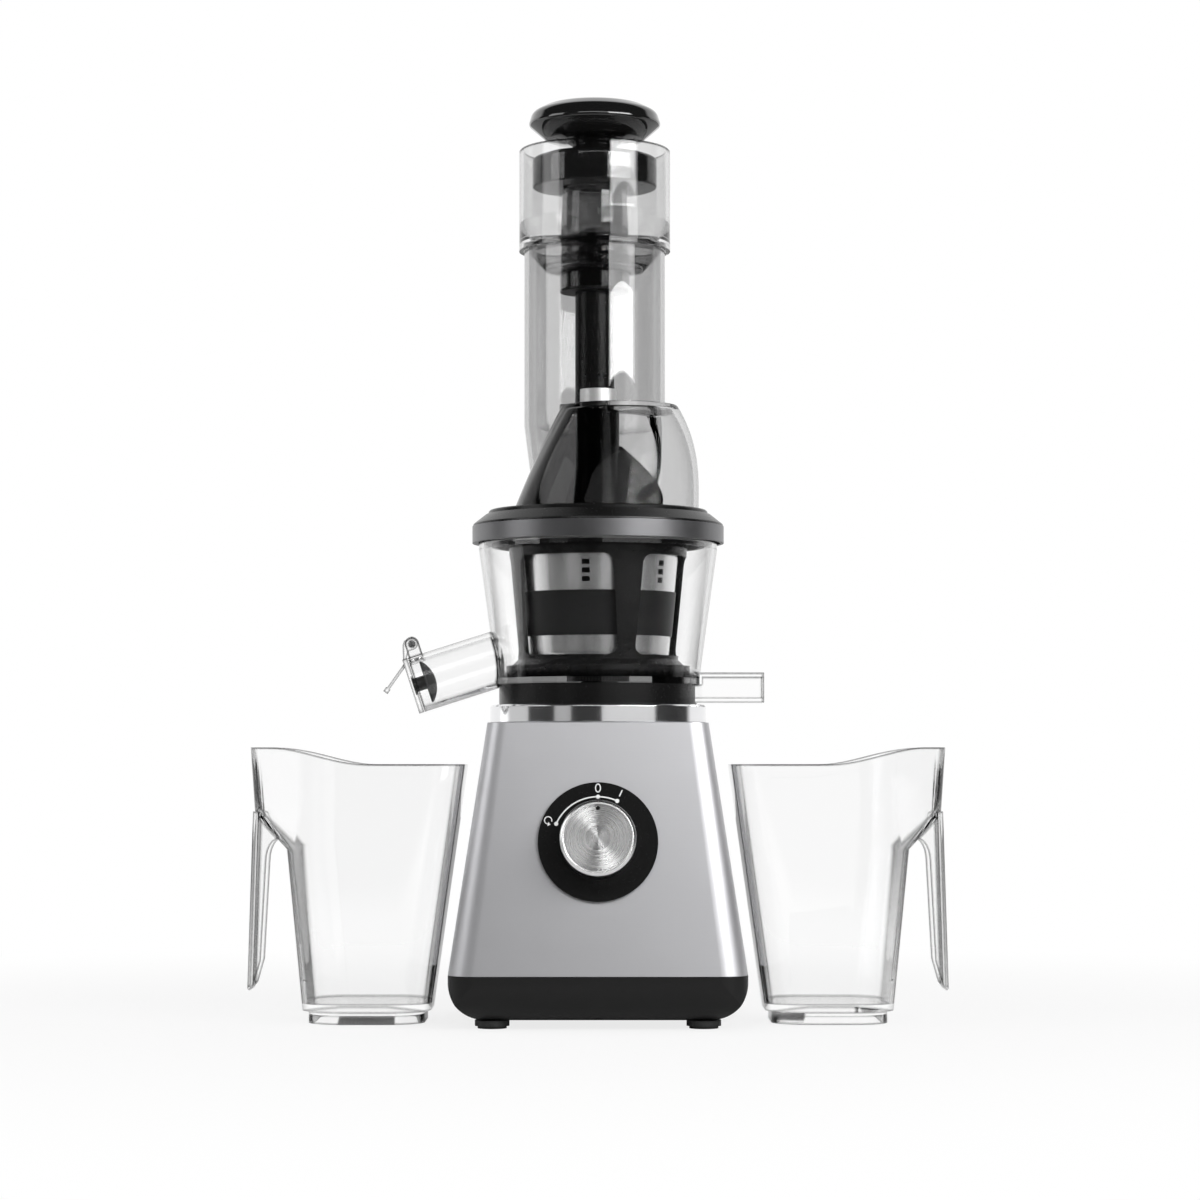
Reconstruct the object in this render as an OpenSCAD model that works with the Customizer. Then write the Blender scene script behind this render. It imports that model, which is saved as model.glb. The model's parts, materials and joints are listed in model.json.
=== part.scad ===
// Cold press juicer, millimetres, +Z up. The origin is the middle of the base on the
// surface it stands on. The front, with the dial, faces -Y; the juice leaves on the -X side.

/* [Base] */
// Width of the base at its widest
base_w = 164; // [150:1:180]
// Width of the steel housing at its top
base_top_w = 122; // [116:1:130]
// Corner radius of the base, seen from above
base_corner = 15; // [8:1:25]
// Height of the rubber feet
foot_h = 4.5; // [3:0.5:8]
// Diameter of a foot
foot_d = 19; // [14:1:24]
// Distance between the feet
foot_pitch = 116; // [100:1:124]
// Height of the black tray
tray_h = 25; // [20:1:32]
// Radius of the tray's lower edge
tray_round = 22; // [12:1:23]
// Wall of the tray
tray_wall = 2.5; // [1.5:0.5:4]
// Height of the steel housing
housing_h = 138; // [132:1:150]
// Thickness of the steel sheet
sheet = 1.2; // [0.8:0.2:2]
// Diameter of the chrome ring
ring_d = 122; // [118:1:128]
// Height of the chrome ring
ring_h = 10.5; // [8:0.5:14]
// Inner diameter of the chrome ring
ring_bore = 108; // [104:1:112]

/* [Dial] */
// Height of the dial above the table
dial_z = 102; // [90:1:120]
// Diameter of the black dial plate
dial_d = 65.6; // [56:0.2:76]
// Diameter of the knob
knob_d = 41.5; // [32:0.5:48]
// Height of the knob's face above the dial plate
knob_h = 18; // [12:1:26]

/* [Drive] */
// Teeth of each pinion
pinion_teeth = 12; // [12:1:14]
// Teeth of the first wheel
wheel_teeth = 60; // [54:1:64]
// Teeth of the output wheel
output_teeth = 48; // [42:1:50]
// Module of the first gear pair
first_module = 0.8; // [0.7:0.05:0.85]
// Diameter of the drive shaft
shaft_d = 12; // [10:0.5:13]
// Outer diameter of the motor can
motor_d = 74; // [60:1:84]

/* [Bowl] */
// Diameter of the black collar under the bowl
collar_d = 112; // [108:1:116]
// Height of the collar
collar_h = 11.5; // [10:0.5:15]
// Outer diameter of the bowl at its floor
bowl_low_d = 115; // [112:1:120]
// Outer diameter of the bowl at its rim
bowl_top_d = 135; // [130:1:140]
// Height of the bowl from its floor to its rim
bowl_h = 83.5; // [76:0.5:95]
// Wall of the bowl
bowl_wall = 2.8; // [2:0.2:4]
// Module of the gears that turn the brush cage
brush_module = 1.5; // [1.3:0.1:1.5]
// Teeth of the auger's gear
sun_teeth = 24; // [22:2:26]
// Teeth of the brush cage's ring gear
cage_teeth = 60; // [58:2:62]

/* [Spouts] */
// Outer diameter of the juice spout
spout_d = 32; // [26:0.5:33]
// Bore of the juice spout
spout_bore = 26.5; // [20:0.5:28]
// Reach of the juice spout from the bowl's axis, along the spout
spout_reach = 108; // [100:1:125]
// Slope of the juice spout, in degrees
spout_slope = 17.8; // [10:0.1:22]
// Turn of the juice spout towards the front, in degrees
spout_turn = 3; // [0:1:25]
// Reach of the pulp spout from the bowl's axis
pulp_reach = 93.5; // [80:0.5:110]
// Width of the pulp spout
pulp_w = 24; // [20:1:30]

/* [Lid] */
// Diameter of the locking ring
lock_d = 142.4; // [138:0.2:150]
// Height of the steel part of the locking ring
lock_h = 14.5; // [12:0.5:18]
// Height of the straight side of the locking ring, below its bevel
lock_side = 9.5; // [8:0.5:11]
// Height of the flange's top above the ring's steel part
lid_bevel = 4; // [3:0.5:6]
// Height of the dome above the flange
dome_h = 60; // [56:1:70]
// Wall of the lid
lid_wall = 2.8; // [2:0.2:4]
// Outer diameter of the feed tube
tube_d = 82; // [74:1:86]
// Wall of the feed tube
tube_wall = 2.5; // [2:0.25:4]
// Distance of the feed tube behind the auger's axis
tube_back = 52; // [50:1:56]
// Height of the feed tube's rim above the dome
tube_h = 98; // [70:1:110]

/* [Pushers] */
// Outer diameter of the hopper cup
cup_d = 88; // [86:1:96]
// Height of the cup's rim above the feed tube
cup_h = 56; // [48:1:70]
// Outer diameter of the neck inside the cup
neck_d = 37.6; // [32:0.4:42]
// Height of the neck's top above the feed tube
neck_h = 33.5; // [24:0.5:36]
// Diameter of the small pusher
rod_d = 22.7; // [18:0.1:26]
// Length of the small pusher
rod_l = 146; // [120:1:148]
// Diameter of the large pusher's head
head_d = 77.2; // [70:0.2:84]
// Diameter of the large pusher's disc
disc_d = 72.6; // [66:0.2:76]

/* [Jugs] */
// Height of a jug's level rim
jug_h = 144.5; // [130:0.5:150]
// Height of the raised rim over the handle
jug_peak = 154; // [146:0.5:162]
// Distance of a jug's inner top edge from the juicer's axis
jug_near = 73; // [70:1:90]
// Distance of a jug's handle from the juicer's axis
jug_far = 197; // [185:1:215]
// Depth of a jug, front to back, at its rim
jug_deep = 94; // [80:1:110]
// Wall of a jug
jug_wall = 2.6; // [2:0.2:4]

/* [Hidden] */
$fn = 64;

eps = 0.01;
fit = 0.3;        // gap between pieces that seat on each other
run = 0.1;        // gap round a shaft or a pin that turns
drop = 0.2;       // gap of a piece that drops into place

// Heights of the base
tray_top = foot_h + tray_h;
housing_top = tray_top + housing_h;
ring_top = housing_top + ring_h;

// Heights of the bowl and the lid
floor_z = ring_top + collar_h;
floor_t = 3.5;
chamber_z = floor_z + floor_t;
rim_z = floor_z + bowl_h;
lock_z = rim_z - 3.5;
steel_top = lock_z + lock_h;
side_z = lock_z + lock_side;
lid_z = steel_top + lid_bevel;

face_tilt = atan((base_w - base_top_w) / 2 / housing_h);
function half_at(z) = base_w / 2 - (z - tray_top) * tan(face_tilt);

// Round-cornered rectangle, centred
module round_rect(w, d, r) {
    square([w - 2 * r, d], center = true);
    square([w, d - 2 * r], center = true);
    for (x = [-1, 1], y = [-1, 1])
        translate([x * (w / 2 - r), y * (d / 2 - r)]) circle(r);
}

// Four copies at the corners of a rectangle
module at_corners(w, d) {
    for (x = [-1, 1], y = [-1, 1]) translate([x * w / 2, y * d / 2, 0]) children();
}

// Ring between two radii
module ring(r_out, r_in, h) {
    difference() {
        cylinder(r = r_out, h = h);
        translate([0, 0, -1]) cylinder(r = r_in, h = h + 2);
    }
}

// ---- Gears -------------------------------------------------------------------------
pressure = 25;    // pressure angle
backlash = 0.1;   // tooth thickness taken off each gear
flank_steps = 4;

function involute_angle(base_r, r) =
    let (t = sqrt(max(0, pow(r / base_r, 2) - 1))) t * 180 / PI - atan(t);
function flank_angle(teeth, m, slack, r) =
    let (pitch_r = teeth * m / 2, base_r = pitch_r * cos(pressure))
    90 / teeth - slack / pitch_r * 90 / PI
        + tan(pressure) * 180 / PI - pressure - involute_angle(base_r, max(r, base_r));
function gear_points(teeth, m, slack, tip, root) =
    let (
        pitch_r = teeth * m / 2,
        low = max(pitch_r - root * m, pitch_r * cos(pressure)),
        high = pitch_r + tip * m,
        radii = concat(
            low > pitch_r - root * m + eps ? [pitch_r - root * m] : [],
            [for (i = [0:flank_steps]) low + (high - low) * i / flank_steps])
    )
    [for (k = [0:teeth - 1], side = [-1, 1], i = [0:len(radii) - 1])
        let (
            r = side < 0 ? radii[i] : radii[len(radii) - 1 - i],
            a = 360 / teeth * k + side * flank_angle(teeth, m, slack, r)
        ) r * [cos(a), sin(a)]];
module gear(teeth, m, h) {
    linear_extrude(h) polygon(gear_points(teeth, m, backlash, 1, 1.25));
}

// ---- Gearbox -----------------------------------------------------------------------
lay_y = (pinion_teeth + wheel_teeth) * first_module / 2;
second_module = 2 * lay_y / (pinion_teeth + output_teeth);
wheel_r = wheel_teeth * first_module / 2 + first_module;
motor_plate = 4;
box_floor = 3;
box_wall = 2.5;
box_z = 104;
first_z = box_z + box_floor + 4;
first_h = 8;
second_z = first_z + first_h;
second_h = 12;
box_h = 40;
cover_z = box_z + box_h;
cover_t = 5;
box_half = wheel_r + 1.7 + box_wall;
bearing_d = 28;
bearing_h = 8;
shaft_r = shaft_d / 2;
low_bearing_z = cover_z - 7;
deck_t = 3.5;
deck_top = ring_top - 2;
deck_r = ring_bore / 2 - fit;
deck_hole_r = deck_r - 2.4;
top_bearing_z = deck_top - 16;
post_x = 70;
post_y = 56;
post_r = 4;
screw_r = 1.6;
head_r = 3;
head_h = 2.4;
layshaft_r = 3;

// Outline of the gearbox, seen from above
module box_outline(grow) {
    translate([0, lay_y / 2])
        round_rect(2 * (box_half + grow), lay_y + 2 * (box_half + grow), 6 + grow);
}

module gearbox_housing() {
    color("#c9c9c6") difference() {
        union() {
            translate([0, 0, box_z]) linear_extrude(box_h) box_outline(0);
            translate([0, 0, cover_z - box_floor]) linear_extrude(box_floor) ears_outline();
        }
        translate([0, 0, box_z + box_floor]) linear_extrude(box_h) box_outline(-box_wall);
        translate([0, 0, box_z - 1]) cylinder(r = 9, h = box_h);
        translate([0, lay_y, box_z - 1]) cylinder(r = layshaft_r + run / 2, h = box_h);
        at_corners(post_x, post_y)
            translate([0, 0, cover_z - box_floor - 1]) cylinder(r = screw_r + run, h = box_h);
        for (a = motor_screw_angles) rotate(a)
            translate([motor_screw_r, 0, box_z - 1]) cylinder(r = screw_r + run, h = box_floor + 2);
    }
}

// Flange that carries the screws up into the deck's posts
module ears_outline() {
    difference() {
        union() {
            square([post_x + 10, 12 + post_y - post_r], center = true);
            for (x = [-1, 1], y = [-1, 1])
                translate([x * post_x / 2, y * post_y / 2]) circle(post_r + 2);
        }
        box_outline(-box_wall);
    }
}

module gearbox_cover() {
    color("#bdbdba") difference() {
        union() {
            translate([0, 0, cover_z]) linear_extrude(cover_t) {
                box_outline(0);
                ears_outline();
            }
            translate([0, 0, low_bearing_z - 2]) cylinder(d = bearing_d + 6, h = cover_t + 8);
        }
        translate([0, 0, low_bearing_z]) cylinder(d = bearing_d + run, h = bearing_h + run);
        translate([0, 0, low_bearing_z - 3]) cylinder(d = bearing_d - 6, h = cover_t + 2 * bearing_h);
        translate([0, lay_y, cover_z - 1]) cylinder(r = layshaft_r + run / 2, h = cover_t - 1);
        at_corners(post_x, post_y)
            translate([0, 0, cover_z - 1]) cylinder(r = screw_r + run, h = cover_t + 2);
    }
}

gearbox_screw_l = 18;

module gearbox_screws() {
    at_corners(post_x, post_y) {
        translate([0, 0, cover_z - box_floor - head_h]) cylinder(r = head_r, h = head_h);
        translate([0, 0, cover_z - box_floor - eps]) cylinder(r = screw_r, h = gearbox_screw_l);
    }
}

module layshaft_pin() {
    color("#b5b8bb")
        translate([0, lay_y, box_z + 0.4]) cylinder(r = layshaft_r, h = box_h + cover_t - 2.4);
}

module layshaft_gear() {
    color("#e4dfcf") translate([0, lay_y, 0]) difference() {
        union() {
            translate([0, 0, first_z]) rotate(180 / wheel_teeth)
                gear(wheel_teeth, first_module, first_h);
            translate([0, 0, second_z - eps]) gear(pinion_teeth, second_module, second_h + 1);
        }
        translate([0, 0, first_z - 1]) cylinder(r = layshaft_r + run, h = first_h + second_h + 4);
    }
}

module output_gear() {
    color("#9fa3a6") difference() {
        translate([0, 0, second_z + 1]) rotate(180 / output_teeth)
            gear(output_teeth, second_module, second_h - 1);
        translate([0, 0, second_z]) cylinder(r = shaft_r, h = second_h + 1);
    }
}

module drive_shaft() {
    color("#c4c7ca") {
        translate([0, 0, second_z + 1]) cylinder(r = shaft_r, h = hex_z - second_z - 1);
        translate([0, 0, hex_z - eps]) cylinder(r = shaft_r, h = hex_h, $fn = 6);
    }
}

module shaft_bearings() {
    color("#aeb2b5") for (z = [low_bearing_z + run / 2, top_bearing_z + run / 2])
        translate([0, 0, z]) ring(bearing_d / 2, shaft_r + run / 2, bearing_h);
}

module shaft_seal() {
    color("#33302e") translate([0, 0, deck_top - 1.5]) ring(boss_r - 4, shaft_r + run, boss_h + 1);
}

// ---- Motor -------------------------------------------------------------------------
motor_r = motor_d / 2;
can_z = 36;
can_h = box_z - motor_plate - can_z;
can_wall = 2;
rotor_r = 25;
magnet_t = motor_r - can_wall - rotor_r - 1;
axle_r = 4;
axle_z = 17;
small_bearing_r = 11;
small_bearing_h = 7;
core_z = can_z + 23;
core_h = 28;
motor_screw_r = 21;
motor_screw_angles = [45, 135, 225, 315];
fan_z = 20;
fan_r = 26;
fan_h = 9;

module motor_can() {
    color("#7c8084") difference() {
        translate([0, 0, can_z]) cylinder(r = motor_r, h = can_h);
        translate([0, 0, can_z + small_bearing_h + 2]) cylinder(r = motor_r - can_wall, h = can_h);
        translate([0, 0, can_z + 2]) cylinder(r = small_bearing_r + run / 2, h = can_h);
        translate([0, 0, can_z - 1]) cylinder(r = axle_r + 2, h = can_h);
        for (a = [0:60:359]) rotate(a + 30)
            translate([motor_r - 14, 0, can_z - 1]) cylinder(r = 5, h = can_h / 3);
    }
}

module motor_bracket() {
    color("#b9bcbe") difference() {
        union() {
            translate([0, 0, box_z - motor_plate]) cylinder(r = motor_r, h = motor_plate);
            translate([0, 0, box_z - small_bearing_h - 2])
                cylinder(r = small_bearing_r + 3, h = small_bearing_h + 2);
        }
        translate([0, 0, box_z - small_bearing_h - 3])
            cylinder(r = small_bearing_r + run / 2, h = small_bearing_h + 1);
        translate([0, 0, box_z - small_bearing_h - 3]) cylinder(r = axle_r + 2, h = 20);
        for (a = motor_screw_angles) rotate(a)
            translate([motor_screw_r, 0, box_z - motor_plate - 1])
                cylinder(r = screw_r + run, h = motor_plate + 2);
    }
}

module motor_screws() {
    for (a = motor_screw_angles) rotate(a) translate([motor_screw_r, 0, 0]) {
        translate([0, 0, box_z + box_floor]) cylinder(r = head_r, h = head_h);
        translate([0, 0, box_z - motor_plate]) cylinder(r = screw_r, h = motor_plate + box_floor + eps);
    }
}

module motor_magnets() {
    color("#4c4f52") difference() {
        translate([0, 0, core_z - 2])
            ring(motor_r - can_wall - run, motor_r - can_wall - magnet_t, core_h + 4);
        translate([0, 0, core_z + core_h / 2])
            cube([2 * motor_d, motor_r * 0.7, 2 * core_h], center = true);
    }
}

commutator_r = 10;
commutator_z = can_z + small_bearing_h + 3.5;
brush_w = 5;

module carbon_brushes() {
    color("#2d2d2f") for (a = [0, 180]) rotate(a)
        translate([commutator_r + run, -brush_w / 2, commutator_z + 1.5])
            cube([motor_r - can_wall - commutator_r - 3 * run - 1, brush_w, brush_w]);
}

module commutator() {
    color("#b87333") translate([0, 0, commutator_z]) ring(commutator_r, axle_r, brush_w + 3);
}

module motor_bearings() {
    color("#aeb2b5") for (z = [can_z + 2 + run, box_z - small_bearing_h - 2 - run])
        translate([0, 0, z]) ring(small_bearing_r, axle_r + run / 2, small_bearing_h);
}

module motor_shaft() {
    color("#c4c7ca") {
        translate([0, 0, axle_z]) cylinder(r = axle_r, h = first_z - axle_z);
        translate([0, 0, first_z - 1]) gear(pinion_teeth, first_module, first_h + 1);
    }
}

module rotor_core() {
    color("#6d7276") difference() {
        translate([0, 0, core_z]) cylinder(r = rotor_r, h = core_h);
        translate([0, 0, core_z - 1]) cylinder(r = axle_r, h = core_h + 2);
        for (a = [0:30:359]) rotate(a) translate([rotor_r, 0, core_z - 1])
            cylinder(r = 2.2, h = core_h + 2);
    }
}

module rotor_windings() {
    color("#b5651d") for (z = [core_z - 5, core_z + core_h])
        translate([0, 0, z]) ring(rotor_r - 5, commutator_r + 1, 5);
}

module cooling_fan() {
    color("#d8d4c6") {
        translate([0, 0, fan_z]) ring(10, axle_r, fan_h);
        translate([0, 0, fan_z]) ring(fan_r, axle_r, 1.5);
        for (a = [0:36:359]) rotate(a)
            translate([9, -0.75, fan_z]) cube([fan_r - 9.5, 1.5, fan_h]);
    }
}

// ---- Base --------------------------------------------------------------------------
lip_h = 3;
lip_inset = sheet + fit + lip_h * tan(face_tilt);
tab_reach = base_w / 2 - 18;
tab_w = 14;
tab_z = tray_top + 4;
vent_w = 3;
vent_l = 30;
gland_r = 5.5;
gland_z = tray_top - 9;
board_w = 46;
board_d = 34;
board_y = -40;

// Solid of the tray with its rounded lower edge, smaller by inset on every side
module tray_solid(inset, top) {
    intersection() {
        translate([0, 0, foot_h + inset]) linear_extrude(top - foot_h - inset)
            round_rect(base_w - 2 * inset, base_w - 2 * inset, base_corner - inset);
        tray_profile(inset, top);
        rotate(90) tray_profile(inset, top);
    }
}
module tray_profile(inset, top) {
    r = tray_round - inset;
    w = base_w - 2 * inset;
    rotate([90, 0, 0]) translate([0, 0, -base_w]) linear_extrude(2 * base_w)
        translate([0, foot_h + inset]) {
            translate([-w / 2, r]) square([w, top]);
            translate([-w / 2 + r, 0]) square([w - 2 * r, 2 * r]);
            for (x = [-1, 1]) translate([x * (w / 2 - r), r]) circle(r);
        }
}

// Places of the screws between the tray and the housing's tabs
module at_tabs() {
    for (a = [0:90:359]) rotate(a) translate([tab_reach, 0, 0]) children();
}

module base_tray() {
    color("#1d1d1c") difference() {
        union() {
            difference() {
                union() {
                    tray_solid(0, tray_top);
                    intersection() {
                        tray_solid(lip_inset, tray_top + lip_h);
                        translate([0, 0, tray_top]) cube([2 * base_w, 2 * base_w, 2 * lip_h], center = true);
                    }
                }
                tray_solid(lip_inset + tray_wall - 1, tray_top + 3 * lip_h);
            }
            at_tabs() translate([0, 0, foot_h + 1]) cylinder(r = post_r, h = tab_z - foot_h - 1);
            translate([0, board_y, foot_h + 1]) at_corners(board_w - 6, board_d - 6)
                cylinder(r = 2.5, h = board_z - foot_h - 1);
        }
        at_tabs() {
            cylinder(r = screw_r + run, h = tab_z + 1);
            cylinder(r = head_r + run, h = screw_head_z + head_h);
        }
        for (x = [-4:4]) translate([x * 3 * vent_w, 14, 0])
            cube([vent_w, vent_l, 40], center = true);
        translate([0, base_w / 2 - 12, gland_z]) rotate([-90, 0, 0])
            cylinder(r = gland_r + run, h = 20);
        at_corners(foot_pitch, foot_pitch) cylinder(r = foot_peg_r + run, h = foot_h + 5);
    }
}
screw_head_z = foot_h + 3;
board_z = foot_h + 9;
foot_peg_r = 3;

module feet() {
    color("#151515") at_corners(foot_pitch, foot_pitch) difference() {
        union() {
            cylinder(d = foot_d - 3, h = 1.5);
            translate([0, 0, 1.4]) cylinder(d = foot_d, h = foot_h - 1.4);
            cylinder(r = foot_peg_r, h = foot_h + 3.5);
        }
        translate([0, 0, -1]) cylinder(d = foot_d - 9, h = 2);
    }
}

module tray_screws() {
    at_tabs() {
        translate([0, 0, screw_head_z]) cylinder(r = head_r, h = head_h - run);
        translate([0, 0, screw_head_z]) cylinder(r = screw_r, h = tab_z + 3 - screw_head_z);
    }
}

// The base's twelve screws: four through the tray, four for the motor, four for the gearbox
module screws() {
    color("#8d8d8d") {
        tray_screws();
        motor_screws();
        gearbox_screws();
    }
}

module cord_gland() {
    color("#1b1b1b") translate([0, base_w / 2, gland_z]) rotate([-90, 0, 0]) difference() {
        union() {
            translate([0, 0, -6]) cylinder(r = gland_r, h = 9);
            translate([0, 0, fit]) cylinder(r = gland_r + 2, h = 2.5);
        }
        translate([0, 0, -9]) cylinder(r = 3.2, h = 20);
    }
}

// Tapered block with rounded corners, the shape of the steel housing
module taper(inset, low, high) {
    w = 2 * half_at(low) - 2 * inset;
    top = 2 * half_at(high) - 2 * inset;
    translate([0, 0, low]) linear_extrude(high - low, scale = top / w)
        round_rect(w, w, base_corner - inset);
}

module housing_shell() {
    color("#b9b9bd") {
        difference() {
            taper(0, tray_top, housing_top);
            taper(sheet, tray_top - 1, housing_top - sheet);
            cylinder(r = deck_hole_r + run, h = housing_top + 1);
            on_face(0) cylinder(r = dial_boss_r + run, h = 20, center = true);
        }
        difference() {
            intersection() {
                union() for (a = [0:90:359]) rotate(a)
                    translate([tab_reach - post_r - 2, -tab_w / 2, tab_z])
                        cube([40, tab_w, sheet]);
                taper(sheet / 2, tray_top + 1, housing_top - 10);
            }
            at_tabs() translate([0, 0, tab_z - 1]) cylinder(r = screw_r + run, h = sheet + 2);
        }
    }
}

module chrome_ring() {
    edge = 1.2;
    color("#dcdde0") rotate_extrude() polygon([
        [ring_bore / 2, housing_top], [ring_d / 2 - edge / 2, housing_top],
        [ring_d / 2, housing_top + edge / 2], [ring_d / 2, ring_top - edge],
        [ring_d / 2 - edge / 2, ring_top - edge / 3], [ring_d / 2 - edge, ring_top],
        [ring_bore / 2, ring_top]
    ]);
}

// Deck that closes the housing, holds the top bearing and carries the gearbox
boss_r = 18;
boss_h = 4;
lug_r = 47;
lug_angles = [45, 135, 225, 315];
lug_w = 9;
lug_t = 4;

module top_deck() {
    color("#1f1f20") difference() {
        union() {
            translate([0, 0, housing_top]) cylinder(r = deck_r, h = deck_top - housing_top);
            translate([0, 0, top_bearing_z - 2])
                cylinder(r = boss_r, h = deck_top - top_bearing_z + 2 + boss_h);
            translate([0, 0, cover_z + cover_t]) at_corners(post_x, post_y)
                cylinder(r = post_r, h = deck_top - cover_z - cover_t - 1);
            for (a = lug_angles) rotate(a)
                translate([lug_r - lug_t / 2, -lug_w / 2, deck_top - 1]) cube([lug_t, lug_w, 5]);
        }
        difference() {
            translate([0, 0, housing_top - 1])
                cylinder(r = deck_hole_r - 0.2, h = deck_top - deck_t - housing_top + 1);
            cylinder(r = boss_r, h = ring_top);
            at_corners(post_x, post_y) cylinder(r = post_r, h = ring_top);
        }
        translate([0, 0, top_bearing_z - 3]) cylinder(d = bearing_d + run, h = bearing_h + 3 + run);
        translate([0, 0, deck_top - 30]) cylinder(r = shaft_r + 1, h = 60);
        translate([0, 0, deck_top - 1.5]) cylinder(r = boss_r - 4, h = 60);
        at_corners(post_x, post_y)
            translate([0, 0, cover_z]) cylinder(r = screw_r + run, h = 20);
    }
}

// ---- Dial --------------------------------------------------------------------------
dial_t = 2;
dial_boss_r = 27;
switch_shaft_r = 3;
bush_r = 5;
insert_r = 8;
knob_wall = 1.5;
spindle_in = 10;

// Frame of the dial: local Z is the outward normal of the front face
module on_face(lift) {
    translate([0, -half_at(dial_z), dial_z]) rotate([90 - face_tilt, 0, 0])
        translate([0, 0, lift]) children();
}

module dial_plate() {
    color("#141414") on_face(0) difference() {
        union() {
            cylinder(d = dial_d, h = dial_t);
            translate([0, 0, -sheet - 2]) cylinder(r = dial_boss_r, h = sheet + 2 + eps);
        }
        translate([0, 0, -10]) cylinder(r = bush_r + run, h = 20);
        translate([0, 0, -sheet - 2 - eps]) cylinder(r = dial_boss_r - 3, h = sheet + 0.5);
    }
}

module rotary_switch() {
    color("#3a3a3c") on_face(-sheet) {
        for (x = [-8, 8]) translate([x - 2, -3, -28]) cube([4, 0.8, 6 + eps]);
        difference() {
            union() {
                translate([-15, -15, -22]) cube([30, 30, 20]);
                translate([0, 0, -2 - eps]) cylinder(r = bush_r, h = 2 + sheet + dial_t);
            }
            translate([0, 0, -spindle_in - fit]) cylinder(r = switch_shaft_r + run / 2, h = 30);
        }
    }
}

module knob() {
    edge = 1.2;
    color("#c8c9cb") on_face(dial_t) rotate_extrude() polygon([
        [0, knob_h], [knob_d / 2 - edge, knob_h], [knob_d / 2, knob_h - edge],
        [knob_d / 2, 1], [knob_d / 2 - knob_wall, 1],
        [knob_d / 2 - knob_wall, knob_h - 2 * knob_wall], [0, knob_h - 2 * knob_wall]
    ]);
}

module knob_insert() {
    top = knob_h - 2 * knob_wall;
    color("#2b2b2b") on_face(dial_t) {
        translate([0, 0, 3]) cylinder(r = insert_r, h = top - 3);
        translate([0, 0, top - 3]) cylinder(r = knob_d / 2 - knob_wall, h = 3);
        translate([0, 0, -dial_t - sheet - spindle_in])
            cylinder(r = switch_shaft_r, h = dial_t + sheet + spindle_in + 4);
    }
}

board_t = 1.6;
relay = [12, 14, 10];
capacitor_d = 10;
capacitor_h = 12;
terminals = [20, 8, 7];

module control_board() {
    color("#2f6b3c") translate([0, board_y, board_z]) {
        translate([-board_w / 2, -board_d / 2, 0]) cube([board_w, board_d, board_t]);
        translate([5 - board_w / 2, 7 - board_d / 2, board_t - eps]) cube(relay);
        translate([board_w / 8, -2, board_t - eps]) cylinder(d = capacitor_d, h = capacitor_h);
        translate([-2, 1 - board_d / 2, board_t - eps]) cube(terminals);
    }
}

// ---- Bowl --------------------------------------------------------------------------
collar_wall = 3.5;
journal_r = 8.5;
hex_z = deck_top + boss_h + 3;
hex_h = 32;
gear_z = chamber_z + 0.4;
gear_h = 6.6;
idler_teeth = (cage_teeth - sun_teeth) / 2;
idler_y = (sun_teeth + idler_teeth) * brush_module / 2;
idler_pin_r = 2.5;
port_x = 31.5;
port_w = 16;
port_d = 18;
channel_z = ring_top + 1.2;
channel_wall = 2.3;
hood_h = 17;

function bowl_r(z) = bowl_low_d / 2
    + (bowl_top_d - bowl_low_d) / 2 * min(1, max(0, (z - chamber_z) / (rim_z - 7 - chamber_z)));

// Frame of the juice spout: local X runs outwards along its axis
spout_rise = 29.3;
module on_spout(reach) {
    translate([0, 0, chamber_z + spout_rise]) rotate(180 + spout_turn)
        rotate([0, spout_slope, 0]) translate([reach, 0, 0]) children();
}

// Space inside the bowl
module chamber(extra) {
    rotate_extrude() polygon([
        [0, chamber_z], [bowl_r(chamber_z) - bowl_wall, chamber_z],
        [bowl_r(rim_z - 7) - bowl_wall, rim_z - 7],
        [bowl_r(rim_z) - bowl_wall, rim_z + extra], [0, rim_z + extra]
    ]);
}

pin_side = 9;      // space between the two ears of the spout's hinge
pin_up = 22.7;     // height of the hinge pin over the spout's axis
pin_out = -4.65;   // reach of the hinge pin past the spout's end
pin_r = 1.3;
ear_r = 4;
ear_t = 3;

// Bowl's outside, filled
module bowl_block() {
    rotate_extrude() polygon([
        [0, floor_z], [bowl_low_d / 2, floor_z], [bowl_low_d / 2, chamber_z],
        [bowl_r(rim_z - 7), rim_z - 7], [bowl_r(rim_z - 7), rim_z], [0, rim_z]
    ]);
}

module bowl_shell() {
    color("#dfe6ea", 0.4) difference() {
        union() {
            difference() {
                bowl_block();
                chamber(1);
            }
            translate([0, idler_y, floor_z - 4]) cylinder(r = idler_pin_r + 3, h = 5);
            for (a = [0, 120, 240]) rotate(a + 60) intersection() {
                translate([0, 0, rim_z - 2]) ring(bowl_top_d / 2 + lock_lug, bowl_top_d / 2 - 1, 2);
                translate([0, 0, rim_z]) wedge(20);
            }
        }
        spout_hole();
        cylinder(r = journal_r + fit, h = rim_z);
        translate([0, 0, chamber_z - 2]) cylinder(r = journal_r + 4, h = 3);
        translate([0, idler_y, floor_z - 2.5]) cylinder(r = idler_pin_r, h = 20);
        translate([port_x, 0, floor_z]) cube([port_w + 2 * drop, port_d + 2 * drop, 20], center = true);
    }
}

module spout_hole() {
    on_spout(20) rotate([0, 90, 0]) cylinder(d = spout_bore, h = spout_reach);
}

// Juice spout, bonded to the bowl's wall, with the ears of its cap's hinge
module juice_spout() {
    color("#dfe6ea", 0.4) difference() {
        union() {
            on_spout(40) rotate([0, 90, 0]) cylinder(d = spout_d, h = spout_reach - 40);
            hinge_ears();
        }
        bowl_block();
        translate([0, 0, floor_z - spout_d]) cylinder(r = collar_d / 2 + fit, h = spout_d + eps);
        spout_hole();
    }
}

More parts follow.
